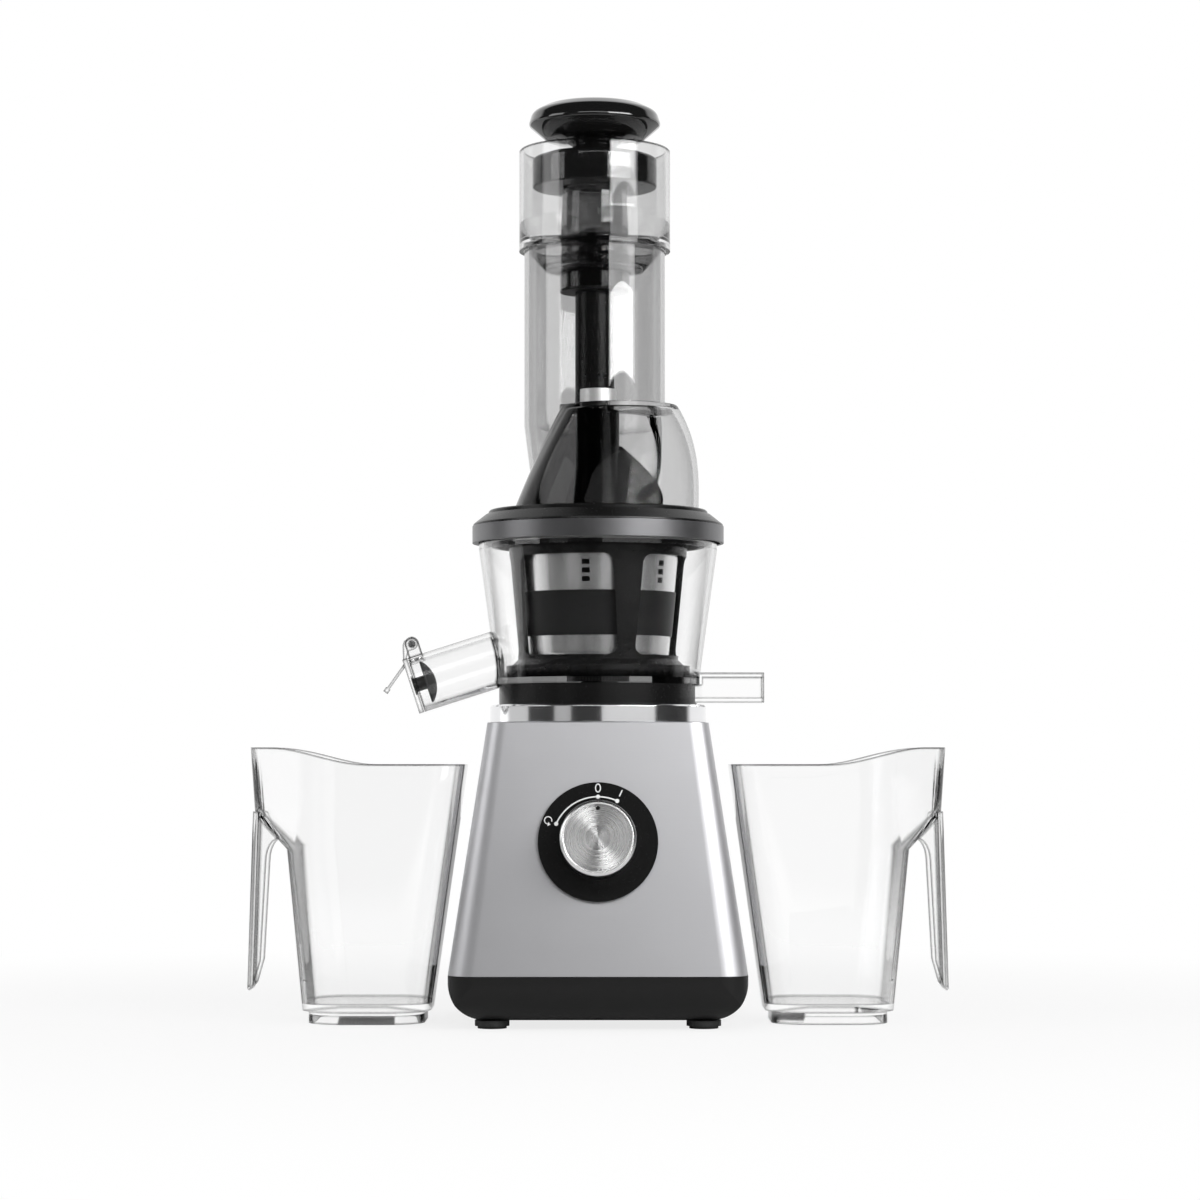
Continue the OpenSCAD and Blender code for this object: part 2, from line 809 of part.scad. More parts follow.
// Wedge of the given angle round the X axis, for lugs and gaps
module wedge(angle) {
    linear_extrude(60, center = true)
        polygon([[0, 0], 150 * [cos(angle / 2), -sin(angle / 2)], 150 * [cos(angle / 2), sin(angle / 2)]]);
}
lock_lug = 1.4;

module hinge_ears() {
    on_spout(spout_reach + pin_out) difference() {
        union() for (side = [-1, 1]) translate([0, side * (pin_side + ear_t) / 2, 0]) {
            translate([0, 0, pin_up]) rotate([90, 0, 0])
                cylinder(r = ear_r, h = ear_t, center = true);
            translate([-ear_r, -ear_t / 2, spout_d / 2 - 3])
                cube([2 * ear_r, ear_t, pin_up - spout_d / 2 + 3]);
        }
        translate([0, 0, pin_up]) rotate([90, 0, 0]) cylinder(r = pin_r, h = 40, center = true);
    }
}

// Channel under the bowl's floor, bonded to it, and the hooded spout it ends in
module pulp_spout() {
    inner = port_x - port_w / 2 - drop - channel_wall;
    edge = bowl_low_d / 2 - bowl_wall / 2;
    color("#dfe6ea", 0.4) difference() {
        union() {
            translate([inner, -pulp_w / 2, channel_z])
                cube([pulp_reach - inner, pulp_w, floor_z - channel_z]);
            translate([edge, -pulp_w / 2, channel_z])
                cube([pulp_reach - edge, pulp_w, hood_h]);
        }
        translate([inner + channel_wall, -pulp_w / 2 + channel_wall, channel_z + channel_wall])
            cube([pulp_reach, pulp_w - 2 * channel_wall, floor_z - channel_z - channel_wall + eps]);
        translate([bowl_low_d / 2 + 1, -pulp_w / 2 + channel_wall, channel_z + channel_wall])
            cube([pulp_reach, pulp_w - 2 * channel_wall, hood_h - 2 * channel_wall]);
        translate([port_x, 0, channel_z])
            cube([plug_w + 2 * run, plug_w + 2 * run, 2 * channel_wall + 1], center = true);
        bowl_block();
    }
}
plug_w = 10;

module pulp_plug() {
    color("#5c5c5c") {
        translate([port_x, 0, channel_z + channel_wall / 2])
            cube([plug_w, plug_w, channel_wall], center = true);
        translate([port_x, 0, channel_z - fit - 0.4]) cube([plug_w + 4, plug_w + 4, 0.8], center = true);
        translate([port_x, 0, channel_z - fit / 2]) cube([plug_w - 2, plug_w - 2, 1], center = true);
    }
}

module bowl_collar() {
    inside = collar_d / 2 - collar_wall;
    color("#121212") difference() {
        union() {
            translate([0, 0, ring_top]) ring(collar_d / 2, inside, collar_h);
            translate([0, 0, ring_top + eps]) ring(inside + 1, lug_r - lug_t / 2 - 1, 3);
        }
        for (a = lug_angles) rotate(a)
            translate([lug_r - lug_t / 2 - drop - 4, -lug_w / 2 - drop, ring_top - 1])
                cube([lug_t + 2 * drop + 4, lug_w + 2 * drop, 5]);
        translate([0, -pulp_w / 2 - drop, channel_z - drop]) cube([100, pulp_w + 2 * drop, 60]);
        translate([20, -pulp_w / 2 - drop, ring_top - 1]) cube([28.5, pulp_w + 2 * drop, 60]);
    }
}

module floor_seal() {
    color("#6a6a6a") translate([0, 0, chamber_z - 2])
        ring(journal_r + 4, journal_r + run, 2);
}

module idler_pin() {
    color("#b5b8bb") translate([0, idler_y, floor_z - 2.5])
        cylinder(r = idler_pin_r, h = gear_z + gear_h + 0.2 - floor_z + 2.5);
}

module idler_gear() {
    color("#d9d4c3") translate([0, idler_y, gear_z]) difference() {
        gear(idler_teeth, brush_module, gear_h - 1.2 - fit);
        translate([0, 0, -1]) cylinder(r = idler_pin_r + run, h = gear_h + 2);
    }
}

// ---- Strainer ----------------------------------------------------------------------
base_z = gear_z + gear_h + 0.6;
base_t = 4;
base_r = 41;
cone_z = base_z + base_t;
cone_top = rim_z - 9;
cone_low_r = 40;
cone_top_r = 45.6;
mesh_t = 1.2;
band_low = 0.2;
band_high = 0.62;
neck_hole_r = 20.3;

function cone_r(z) = cone_low_r + (cone_top_r - cone_low_r) * (z - cone_z) / (cone_top - cone_z);

// Band round the strainer between two heights
module cone_band(low, high, out, in) {
    rotate_extrude() polygon([
        [cone_r(low) + in, low], [cone_r(low) + out, low],
        [cone_r(high) + out, high], [cone_r(high) + in, high]
    ]);
}

slot_w = 4.5;
slot_h = 2.9;
slot_pitch = 4.8;
slot_top = 7;
slot_from = -98.7;

module strainer_cone() {
    color("#cfd1d3") difference() {
        union() {
            cone_band(cone_z, cone_top, 0, -mesh_t);
            translate([0, 0, cone_top - eps]) ring(cone_top_r + 1, cone_top_r - mesh_t, 1.5);
        }
        for (a = [0:60:359], k = [0:2]) rotate(slot_from + a)
            translate([cone_top_r, 0, cone_top - slot_top - k * slot_pitch])
                cube([10 * mesh_t, slot_w, slot_h], center = true);
    }
}

module strainer_band() {
    low = cone_z + band_low * (cone_top - cone_z);
    high = cone_z + band_high * (cone_top - cone_z);
    color("#1a1a1a") cone_band(low, high, 0.7, run);
}

module strainer_base() {
    color("#232323") difference() {
        union() {
            translate([0, 0, base_z]) cylinder(r = base_r, h = base_t);
            translate([port_x - port_w / 2, -port_d / 2, floor_z + 0.5])
                cube([port_w, port_d, base_z - floor_z]);
        }
        translate([0, 0, base_z - 1]) cylinder(r = neck_hole_r, h = base_t + 2);
        translate([port_x - port_w / 2 + 1.6, -port_d / 2 + 1.6, floor_z - 1])
            cube([port_w - 3.2, port_d - 3.2, 40]);
        difference() {
            translate([0, 0, base_z - 1]) cylinder(r = base_r + 1, h = 1);
            cylinder(r = 43, h = base_z);
        }
    }
}

// ---- Brush cage --------------------------------------------------------------------
cage_low_r = 45;
cage_top_r = 50.5;
cage_wall = 3.4;
cage_base_r = 51.9;
cage_top = rim_z - 6.5;
ring_gear_h = gear_h;
pillar_w = 14;
pillar_angles = [20, 110, 200, 290];
notch_h = 3.4;
notch_t = 1.2;
notch_w = 2.2;
blade_t = 2;
window_low = base_z + 5;
window_high = cage_top - 5;
window_corner = 5;

function cage_r(z) = cage_low_r + (cage_top_r - cage_low_r) * (z - base_z) / (cage_top - base_z);

module brush_cage() {
    color("#191919") difference() {
        union() {
            translate([0, 0, gear_z]) cylinder(r = cage_base_r, h = ring_gear_h);
            rotate_extrude() polygon([
                [base_r + drop, base_z - 1.5], [cage_base_r - 2, base_z - 1.5],
                [cage_r(base_z + 3), base_z + 3], [cage_r(cage_top), cage_top],
                [cage_r(cage_top) - cage_wall, cage_top],
                [cage_r(base_z + 3) - cage_wall, base_z + 3], [base_r + drop, base_z + 3]
            ]);
        }
        translate([0, 0, gear_z - 1]) rotate(180 / cage_teeth) linear_extrude(ring_gear_h + 1 - 1.2)
            polygon(gear_points(cage_teeth, brush_module, -backlash, 1.25, 1));
        cylinder(r = base_r + drop, h = base_z + 1);
        for (a = pillar_angles) rotate(a + 45) translate([0, 0, (window_low + window_high) / 2])
            rotate([90, 0, 90]) linear_extrude(80)
                round_rect(window_w, window_high - window_low, window_corner);
        for (a = pillar_angles) rotate(a) blade(-run / 2);
        translate([0, 0, gear_z - 1]) linear_extrude(notch_h + 1)
            for (k = [1:cage_teeth]) rotate(360 / cage_teeth * k)
                translate([cage_base_r - notch_t, -notch_w / 2]) square([2 * notch_t, notch_w]);
    }
}
window_w = 2 * (cage_low_r + cage_top_r) / 2 * sin(45 - asin(pillar_w / (cage_low_r + cage_top_r)));

// Silicone blade, standing radially; slack widens the groove that holds it
module blade(slack) {
    low = window_low + 1 + slack;
    high = window_high - 1 - slack;
    t = blade_t - 2 * slack;
    out = slack - 1.6;
    rotate([90, 0, 0]) linear_extrude(t, center = true) polygon([
        [cone_r(low) + 0.9, low], [cage_r(low) - cage_wall - out, low],
        [cage_r(high) - cage_wall - out, high], [cone_r(high) + 0.9, high]
    ]);
}

module wiper_blades() {
    color("#8a8f92") for (a = pillar_angles) rotate(a) blade(0);
}

// ---- Auger -------------------------------------------------------------------------
hub_r = 12;
hub_top = lid_z + dome_h - lid_wall - 0.6;
auger_low_z = base_z + base_t + 0.6;
flight_gap = 0.9;
flight_t = 4;
flight_turns = 1.5;
flight_low_z = auger_low_z + 3;
flight_high_z = lid_z + 2;
lead_top_z = lid_z + 34;
lead_angle = 30;
lead_from = 12;
lead_r = 37.5;
flight_steps = 84;

// Largest radius that the flight may have at a height
function flight_limit(z) = min(lead_r, cone_r(z) - mesh_t - flight_gap);
// Height and radius along the flight, u from 0 at its foot to 1 at its top
lead_share = 0.16;
function flight_u(i) = i / flight_steps;
function flight_z(u) = u < 1 - lead_share
    ? flight_low_z + (flight_high_z - flight_low_z) * u / (1 - lead_share)
    : flight_high_z + (lead_top_z - flight_high_z) * (u - 1 + lead_share) / lead_share;
function flight_a(u) = u < 1 - lead_share
    ? 360 * flight_turns * u / (1 - lead_share)
    : 360 * flight_turns + lead_angle * (u - 1 + lead_share) / lead_share;
function flight_r(u) = u < 1 - lead_share
    ? flight_limit(flight_z(u))
    : hub_r + 2 + (lead_r - hub_r - 2) * (1 - pow((u - 1 + lead_share) / lead_share, 1.6));
start_angle = -flight_turns * 360 - lead_from;

module flight() {
    inner = 8;
    points = [for (i = [0:flight_steps]) let (
            u = flight_u(i), a = start_angle + flight_a(u), z = flight_z(u),
            r = flight_r(u), t = flight_t * (u > 1 - lead_share ? 1.6 : 1) / 2
        ) each [
            [inner * cos(a), inner * sin(a), z - t], [r * cos(a), r * sin(a), z - t],
            [r * cos(a), r * sin(a), z + t], [inner * cos(a), inner * sin(a), z + t]
        ]];
    sides = [for (i = [0:flight_steps - 1], k = [0:3])
        let (p = 4 * i + k, q = 4 * i + (k + 1) % 4) each [[p, q + 4, p + 4], [p, q, q + 4]]];
    last = 4 * flight_steps;
    polyhedron(points, concat(sides,
        [[2, 1, 0], [3, 2, 0], [last, last + 1, last + 2], [last, last + 2, last + 3]]));
}

module auger() {
    color("#101010") difference() {
        union() {
            rotate_extrude() polygon([
                [0, gear_z + gear_h], [19.6, gear_z + gear_h], [19.6, auger_low_z + 1],
                [27, auger_low_z + 8], [27, auger_low_z + 20], [24, cone_top - 10],
                [14, lid_z + 6], [hub_r, lid_z + 28], [hub_r, hub_top], [0, hub_top]
            ]);
            flight();
        }
        cylinder(r = shaft_r + drop, h = hex_z + hex_h + 1, $fn = 6);
        translate([0, 0, hub_top - 22]) cylinder(r = auger_pin_r, h = 40);
    }
}

module auger_gear() {
    color("#2a2a2a") difference() {
        union() {
            translate([0, 0, gear_z]) gear(sun_teeth, brush_module, gear_h);
            translate([0, 0, floor_z - 3]) cylinder(r = journal_r, h = 8);
        }
        cylinder(r = shaft_r + drop, h = rim_z, $fn = 6);
    }
}
auger_pin_r = 5;

module auger_pin() {
    color("#c4c7ca") translate([0, 0, hub_top - 22])
        cylinder(r = auger_pin_r, h = 22 + cap_h + 2);
}

// ---- Spout cap ---------------------------------------------------------------------
cap_t = 3;
knuckle_r = ear_r - 0.6;
lever_z = 11.8;
lever_drop = 37;
lever_l = 19;
lever_w = 10;
lever_t = 1.8;
seal_r = spout_bore / 2 - 1.2;
seal_in = 6.5;
seal_bulge = 5;
seal_stem_r = 4;

module cap_pin() {
    color("#c4c7ca") on_spout(spout_reach + pin_out) translate([0, 0, pin_up])
        rotate([90, 0, 0]) cylinder(r = pin_r, h = pin_side + 2 * ear_t - 1, center = true);
}

module spout_cap() {
    arm_w = pin_side - 2 * fit;
    color("#dfe6ea", 0.4) on_spout(spout_reach) difference() {
        union() {
            translate([fit, 0, 0]) rotate([0, 90, 0]) cylinder(d = spout_d, h = cap_t);
            rotate([90, 0, 0]) linear_extrude(arm_w, center = true) polygon([
                [fit, 0], [fit + cap_t, 0], [fit + cap_t, lever_z + 2], [0.6, pin_up + 0.8],
                [-1, pin_up + knuckle_r - 0.4], [pin_out, pin_up + knuckle_r],
                [pin_out, pin_up - knuckle_r], [-2, pin_up - knuckle_r], [fit, spout_d / 2 + 0.4]
            ]);
            translate([pin_out, 0, pin_up]) rotate([90, 0, 0])
                cylinder(r = knuckle_r, h = arm_w, center = true);
            translate([cap_t - 0.8, -lever_w / 2, lever_z]) rotate([0, lever_drop, 0]) {
                cube([lever_l, lever_w, lever_t]);
                translate([lever_l - 3, 0, -0.6]) cube([3, lever_w, lever_t + 1.2]);
            }
        }
        translate([pin_out, 0, pin_up]) rotate([90, 0, 0])
            cylinder(r = pin_r + run, h = 40, center = true);
        translate([fit - 1, 0, 0]) rotate([0, 90, 0]) cylinder(r = seal_stem_r, h = 2.5);
    }
}

module spout_seal() {
    ball = (seal_r * seal_r + seal_bulge * seal_bulge) / 2 / seal_bulge;
    color("#141414") on_spout(spout_reach - seal_in) rotate([0, 90, 0]) {
        intersection() {
            translate([0, 0, ball - seal_bulge]) sphere(r = ball);
            translate([0, 0, -seal_bulge]) cylinder(r = seal_r, h = seal_bulge + 1);
        }
        translate([0, 0, -1]) cylinder(r = seal_stem_r, h = seal_in + fit + 2.5);
    }
}

// ---- Lid ---------------------------------------------------------------------------
lock_r = lock_d / 2;
flange_r = 62;
bevel_r = flange_r + 1.2;
flange_t = 5;
spigot_r = flange_r - 1.8;
spigot_z = rim_z - 6;
ledge_z = lid_z - flange_t;
seat = drop / 2;

module lock_ring() {
    color("#a9abad") {
        difference() {
            rotate_extrude() polygon([
                [0, lock_z], [lock_r, lock_z], [lock_r, side_z], [lock_r - 0.3, side_z],
                [bevel_r, steel_top], [0, steel_top]
            ]);
            translate([0, 0, lock_z - 1])
                cylinder(r = bowl_top_d / 2 + lock_lug + fit, h = rim_z + fit - lock_z + 1);
            cylinder(r = spigot_r + fit, h = lid_z);
            translate([0, 0, ledge_z]) cylinder(r = flange_r + fit, h = 30);
        }
        for (a = [0, 120, 240]) rotate(a + 60) intersection() {
            translate([0, 0, lock_z]) ring(lock_r - 1, bowl_top_d / 2 + fit, rim_z - 2 - fit - lock_z);
            translate([0, 0, lock_z]) wedge(20);
        }
    }
}

module lock_ring_trim() {
    color("#0f0f0f") rotate_extrude() polygon([
        [flange_r + fit, steel_top], [bevel_r, steel_top], [lock_r - 0.3, side_z],
        [lock_r - 0.6, side_z + 1.2], [bevel_r + 0.6, lid_z - 2.4], [flange_r + fit, lid_z - 2.4]
    ]);
}

chute_low_r = 35;
chute_low_y = 25;
chute_top = 0.88;
tube_r = tube_d / 2;
tube_top = lid_z + dome_h + tube_h;
tube_x = -2;
chute_z = lid_z + chute_top * dome_h;
dome_low_r = 52.7;
dome_low_x = 4.3;
// Circular slices of the dome: share of its height, centre along X, radius
dome_y = 3;
dome_slices = [
    [0, dome_low_x, dome_low_r], [0.28, 7.9, 49.3], [0.57, 10.9, 44.4], [0.97, 12.3, 33.8], [1, 12.3, 32.3]
];

module dome(inset) {
    hull() for (s = dome_slices)
        translate([s[1], dome_y, lid_z - 1 + s[0] * (dome_h - inset + 1) - 1])
            cylinder(r = s[2] - inset, h = 1);
}

module chute(inset) {
    hull() {
        translate([tube_x, tube_back, chute_z]) cylinder(r = tube_r - inset - fit, h = 1);
        translate([tube_x / 2, chute_low_y, lid_z - 1]) cylinder(r = chute_low_r - inset, h = 1);
    }
}

module lid_shell() {
    color("#8e9296", 0.5) difference() {
        union() {
            translate([0, 0, ledge_z + seat]) cylinder(r = flange_r, h = flange_t - seat);
            translate([0, 0, spigot_z]) cylinder(r = spigot_r, h = ledge_z + 1 - spigot_z);
            dome(0);
            chute(0);
            translate([tube_x, tube_back, chute_z - fit]) cylinder(r = tube_r, h = tube_top - chute_z + fit);
        }
        dome(lid_wall);
        chute(tube_wall);
        translate([tube_x, tube_back, chute_z - fit / 2])
            cylinder(r = tube_r - tube_wall, h = tube_h + dome_h);
        translate([dome_low_x, dome_y, ledge_z - 1])
            cylinder(r = dome_low_r - lid_wall - fit, h = flange_t + 0.6);
        translate([0, 0, spigot_z - 1]) cylinder(r = spigot_r - lid_wall, h = ledge_z - spigot_z + 1);
        translate([0, 0, hub_top - 5]) cylinder(r = cap_spigot_r + run, h = 20);
        translate([0, 0, spigot_z + 2]) ring(spigot_r + 1, spigot_r - 1.2, 3);
    }
}

module lid_seal() {
    color("#7d7d7d") translate([0, 0, spigot_z + 2]) difference() {
        cylinder(r = bowl_top_d / 2 - bowl_wall - fit, h = 3);
        translate([0, 0, -1]) cylinder(r = spigot_r - 1.2, h = 5);
    }
}

cap_spigot_r = 7.5;
cap_r = 10.3;
cap_h = 9;

module bearing_cap() {
    color("#c9ced2") difference() {
        union() {
            translate([0, 0, lid_z + dome_h]) cylinder(r = cap_r, h = cap_h);
            translate([0, 0, lid_z + dome_h - lid_wall]) cylinder(r = cap_spigot_r, h = cap_h);
        }
        translate([0, 0, hub_top - 1]) cylinder(r = auger_pin_r + run, h = cap_h + 3.5);
    }
}

// ---- Hopper and pushers ------------------------------------------------------------
cup_z = tube_top + fit;
cup_r = cup_d / 2;
cup_wall = 2.4;
neck_r = neck_d / 2;
cup_bowl_h = 14;
collar_low = 10.5;
neck_collar_r = neck_r + 1.5;
neck_bore_r = neck_r - cup_wall;

// Frame of the feed tube's axis, at the tube's rim
module on_tube(z) {
    translate([tube_x, tube_back, cup_z + z]) children();
}

// Inner curve of the cup's bowl, t from 0 at the wall to 1 at the neck
bowl_steps = 8;
function cup_curve(t) = [
    neck_r + 1 + (cup_r - cup_wall - neck_r - 1) * cos(90 * t),
    20 - (cup_bowl_h + 20) * sin(90 * t)
];

module hopper_cup() {
    inner = tube_r - tube_wall - fit;
    color("#e8edf0", 0.4) on_tube(0) rotate_extrude() polygon(concat(
        [[cup_r, cup_h], [cup_r, -3], [tube_r + fit + 0.3, -3], [tube_r + fit + 0.3, 0],
            [inner, 0], [inner, -5], [neck_collar_r + 8, -cup_bowl_h - 1], [neck_collar_r, -cup_bowl_h - 2.6],
            [neck_collar_r, -cup_bowl_h - collar_low - 1], [neck_bore_r, -cup_bowl_h - collar_low - 1],
            [neck_bore_r, neck_h], [neck_r, neck_h]],
        [for (i = [bowl_steps:-1:0]) cup_curve(i / bowl_steps)],
        [[cup_r - cup_wall, cup_h]]
    ));
}

module neck_bush() {
    color("#161616") on_tube(-cup_bowl_h - collar_low - 1) {
        difference() {
            union() {
                cylinder(r = neck_bore_r - run / 2, h = collar_low);
                translate([0, 0, -1.5]) cylinder(r = neck_collar_r, h = 1.5);
            }
            translate([0, 0, -3]) cylinder(r = rod_d / 2 + run, h = collar_low + 5);
        }
    }
}

rod_top = 6.5;

module small_pusher() {
    r = rod_d / 2;
    color("#0d0d0d") on_tube(rod_top) {
        translate([0, 0, -rod_l]) cylinder(r = r, h = rod_l - r);
        translate([0, 0, -r]) sphere(r = r);
    }
}

disc_h = 17;
stem_r = 12.3;
head_mid = 37.5;
head_rise = 12.5;
head_round = 24;
head_drop = 9;

module large_pusher() {
    color("#0d0d0d") on_tube(neck_h + fit) rotate_extrude() polygon(concat(
        [[0, 0], [disc_d / 2 - 1, 0], [disc_d / 2, 1], [disc_d / 2, disc_h], [disc_d / 2 - 6, disc_h + 2],
            [stem_r + 4, disc_h + 4], [stem_r, disc_h + 6], [stem_r, head_mid - head_drop - 4],
            [stem_r + 4, head_mid - head_drop - 2], [head_d / 2 - head_drop - 1, head_mid - head_drop],
            [head_d / 2 - 1, head_mid - 2]],
        [for (a = [0:10:80])
            [head_d / 2 - head_round * (1 - cos(a)), head_mid + head_rise * sin(a)]],
        [[0, head_mid + head_rise]]
    ));
}

// ---- Jugs --------------------------------------------------------------------------
jug_low_near = 93.5;
jug_low_w = 72;
jug_low_d = 82;
jug_foot = 7;
jug_floor = 11;
jug_round = 24;
jug_top = jug_peak + 6;
foot_inset = 3.5;
prow_z = 97;         // height where the far wall turns outwards into the prow
prow_rise = 19;      // height of the prow's slanted underside
prow_back = 23;      // from the far wall to the handle's outer face
prow_r = 17;
handle_w = 26;
handle_lean = 3;
handle_low = 18;
flange_w = 7.4;
rim_from = jug_far - 69;
rim_to = jug_far - 14;

function jug_share(z) = (z - jug_foot) / (jug_peak - jug_foot);
function jug_near_at(z) = jug_low_near + (jug_near - jug_low_near) * jug_share(z);
function jug_depth_at(z) = jug_low_d + (jug_deep - jug_low_d) * jug_share(z);
function jug_far_at(z) = let (low = jug_low_near + jug_low_w, high = jug_far - prow_back)
    low + (high - low) * min(1, (z - jug_foot) / (prow_z - jug_foot));
// Height of the rim, which rises in an S towards the handle
function jug_rim(x) = let (t = (x - rim_from) / (rim_to - rim_from))
    jug_h + (jug_peak - jug_h) * t * t * (3 - 2 * t);

// Thin slice of the jug's body
module jug_slice(z, inset) {
    near = jug_near_at(z);
    translate([(near + jug_far_at(z)) / 2, 0, z]) linear_extrude(eps) offset(r = jug_round - inset)
        square([jug_far_at(z) - near - 2 * jug_round, jug_depth_at(z) - 2 * jug_round], center = true);
}

// The jug's body and its prow, filled, smaller by inset
module jug_block(inset, low, high) {
    hull() {
        jug_slice(low, inset);
        jug_slice(prow_z, inset);
    }
    hull() {
        jug_slice(prow_z, inset);
        jug_slice(high, inset);
        translate([jug_far - handle_lean - prow_r, 0, prow_z + prow_rise + inset])
            cylinder(r = prow_r - inset, h = eps);
        translate([jug_far - prow_r, 0, high]) cylinder(r = prow_r - inset, h = eps);
    }
}

// Side view of the handle, which hangs from the prow
module handle_side() {
    top = prow_z + prow_rise;
    bend = jug_far - handle_lean - flange_w;
    polygon(concat(
        [for (a = [0:15:90])
            [bend - flange_w * (1 - sin(a)), prow_z - flange_w + 13 * cos(a)]],
        [[jug_far - flange_w, handle_low + 16], [jug_far - flange_w / 2, handle_low + 3],
            [jug_far - 1, handle_low - 0.6], [jug_far, handle_low + 0.6],
            [jug_far - handle_lean, top + 2], [bend, top]]
    ));
}

// Open channel, its web on the outside
module handle() {
    rotate([90, 0, 0]) difference() {
        linear_extrude(handle_w, center = true) handle_side();
        translate([-jug_wall, 0, 0]) linear_extrude(handle_w - 2 * jug_wall, center = true) handle_side();
    }
}

module jug() {
    middle = jug_low_near + jug_low_w / 2;
    difference() {
        union() {
            jug_block(0, jug_foot, jug_top);
            handle();
            translate([middle, 0, 0]) linear_extrude(jug_foot + 1)
                round_rect(jug_low_w - 2 * foot_inset, jug_low_d - 2 * foot_inset, jug_round - foot_inset);
        }
        jug_block(jug_wall, jug_floor, jug_top + 1);
        translate([middle, 0, -1]) linear_extrude(jug_foot - 1)
            round_rect(jug_low_w - 12, jug_low_d - 12, jug_round - 8);
        rotate([90, 0, 0]) linear_extrude(2 * jug_deep, center = true) polygon(concat(
            [[0, jug_h]],
            [for (i = [0:12]) let (x = rim_from + (rim_to - rim_from) * i / 12) [x, jug_rim(x)]],
            [[jug_far + 5, jug_peak], [jug_far + 5, 2 * jug_peak], [0, 2 * jug_peak]]
        ));
    }
}

module juice_jug() { color("#e3e8ea", 0.4) mirror([1, 0, 0]) jug(); }

module pulp_jug() { color("#e3e8ea", 0.4) jug(); }

base_tray();
feet();
housing_shell();
chrome_ring();
top_deck();
cord_gland();
screws();
dial_plate();
rotary_switch();
knob();
knob_insert();
control_board();
motor_can();
motor_bracket();
motor_magnets();
carbon_brushes();
motor_bearings();
motor_shaft();
rotor_core();
rotor_windings();
commutator();
cooling_fan();
gearbox_housing();
gearbox_cover();
layshaft_pin();
layshaft_gear();
output_gear();
drive_shaft();
shaft_bearings();
shaft_seal();
bowl_shell();
juice_spout();
pulp_spout();
bowl_collar();
floor_seal();
pulp_plug();
strainer_cone();
strainer_band();
strainer_base();
idler_pin();
idler_gear();
brush_cage();
wiper_blades();
auger();
auger_gear();
auger_pin();
spout_cap();
spout_seal();
cap_pin();
lock_ring();
lock_ring_trim();
lid_shell();
lid_seal();
bearing_cap();
hopper_cup();
neck_bush();
small_pusher();
large_pusher();
juice_jug();
pulp_jug();
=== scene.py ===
"""Looks of the cold press juicer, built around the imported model. Metres, +Z up, front to -Y."""

import json
import math

import bmesh
import bpy
from mathutils import Matrix, Vector

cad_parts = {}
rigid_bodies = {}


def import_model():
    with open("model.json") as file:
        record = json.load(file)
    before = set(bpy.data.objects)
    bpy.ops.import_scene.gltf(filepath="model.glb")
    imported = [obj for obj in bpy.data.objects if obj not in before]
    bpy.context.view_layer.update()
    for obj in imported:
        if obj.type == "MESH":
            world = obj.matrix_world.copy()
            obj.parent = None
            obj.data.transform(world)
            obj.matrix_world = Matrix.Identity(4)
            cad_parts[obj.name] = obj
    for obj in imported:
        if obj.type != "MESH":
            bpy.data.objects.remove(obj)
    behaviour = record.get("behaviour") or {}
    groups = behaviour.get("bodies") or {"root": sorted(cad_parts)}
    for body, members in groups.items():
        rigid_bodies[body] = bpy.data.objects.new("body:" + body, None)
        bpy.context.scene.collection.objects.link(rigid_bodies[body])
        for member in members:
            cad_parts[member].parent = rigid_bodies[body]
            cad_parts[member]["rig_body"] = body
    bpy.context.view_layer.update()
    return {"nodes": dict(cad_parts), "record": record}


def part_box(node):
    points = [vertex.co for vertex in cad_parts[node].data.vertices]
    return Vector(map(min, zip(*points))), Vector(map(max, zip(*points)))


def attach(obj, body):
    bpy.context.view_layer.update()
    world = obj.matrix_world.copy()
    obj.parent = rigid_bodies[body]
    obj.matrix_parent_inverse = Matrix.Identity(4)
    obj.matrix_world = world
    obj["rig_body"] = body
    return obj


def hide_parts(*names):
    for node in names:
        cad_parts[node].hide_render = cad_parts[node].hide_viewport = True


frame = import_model()
MM = 0.001

# Sizes of the model that the pieces below are set against, in millimetres and radians
BASE_W, TOP_W = 164, 122
FACE_H, FACE_FOOT = 138, 29.5
FACE_TILT = math.atan((BASE_W - TOP_W) / 2 / FACE_H)
DIAL_Z = 102
DIAL_HALF = BASE_W / 2 - (DIAL_Z - FACE_FOOT) * math.tan(FACE_TILT)
DIAL_T = 2
KNOB_R = 20.75
KNOB_H = 18
TUBE = (-2, 52)
TUBE_R = 41
TUBE_WALL = 2.5
TUBE_TOP = 446
CUP_Z = 446.3
LID_Z = 288
LID_WALL = 2.8
DOME_H = 60
CHUTE_FOOT = (-1, 25)
CHUTE_FOOT_R = 35
CHUTE_TOP = 341
# Slices of the dome: share of its height, centre along X, radius
DOME_SLICES = ((0, 4.3, 52.7), (0.28, 7.9, 49.3), (0.57, 10.9, 44.4), (0.97, 12.3, 33.8))
DOME_Y = 3
FLANGE_R = 62

# Parts of a full turn in a lathed piece, and in a small hole
ROUND = 160
HOLE_ROUND = 48
TINY = 1e-6

scene = bpy.context.scene
scene.view_settings.view_transform = "Standard"


# ---- Camera -----------------------------------------------------------------------------
LENS = 100.587
SENSOR = 36
SHIFT_UP = 0.08
CAMERA_AT = (0.0011, -1.8988, 0.1454)
CAMERA_TILT = 1.1388  # degrees above level


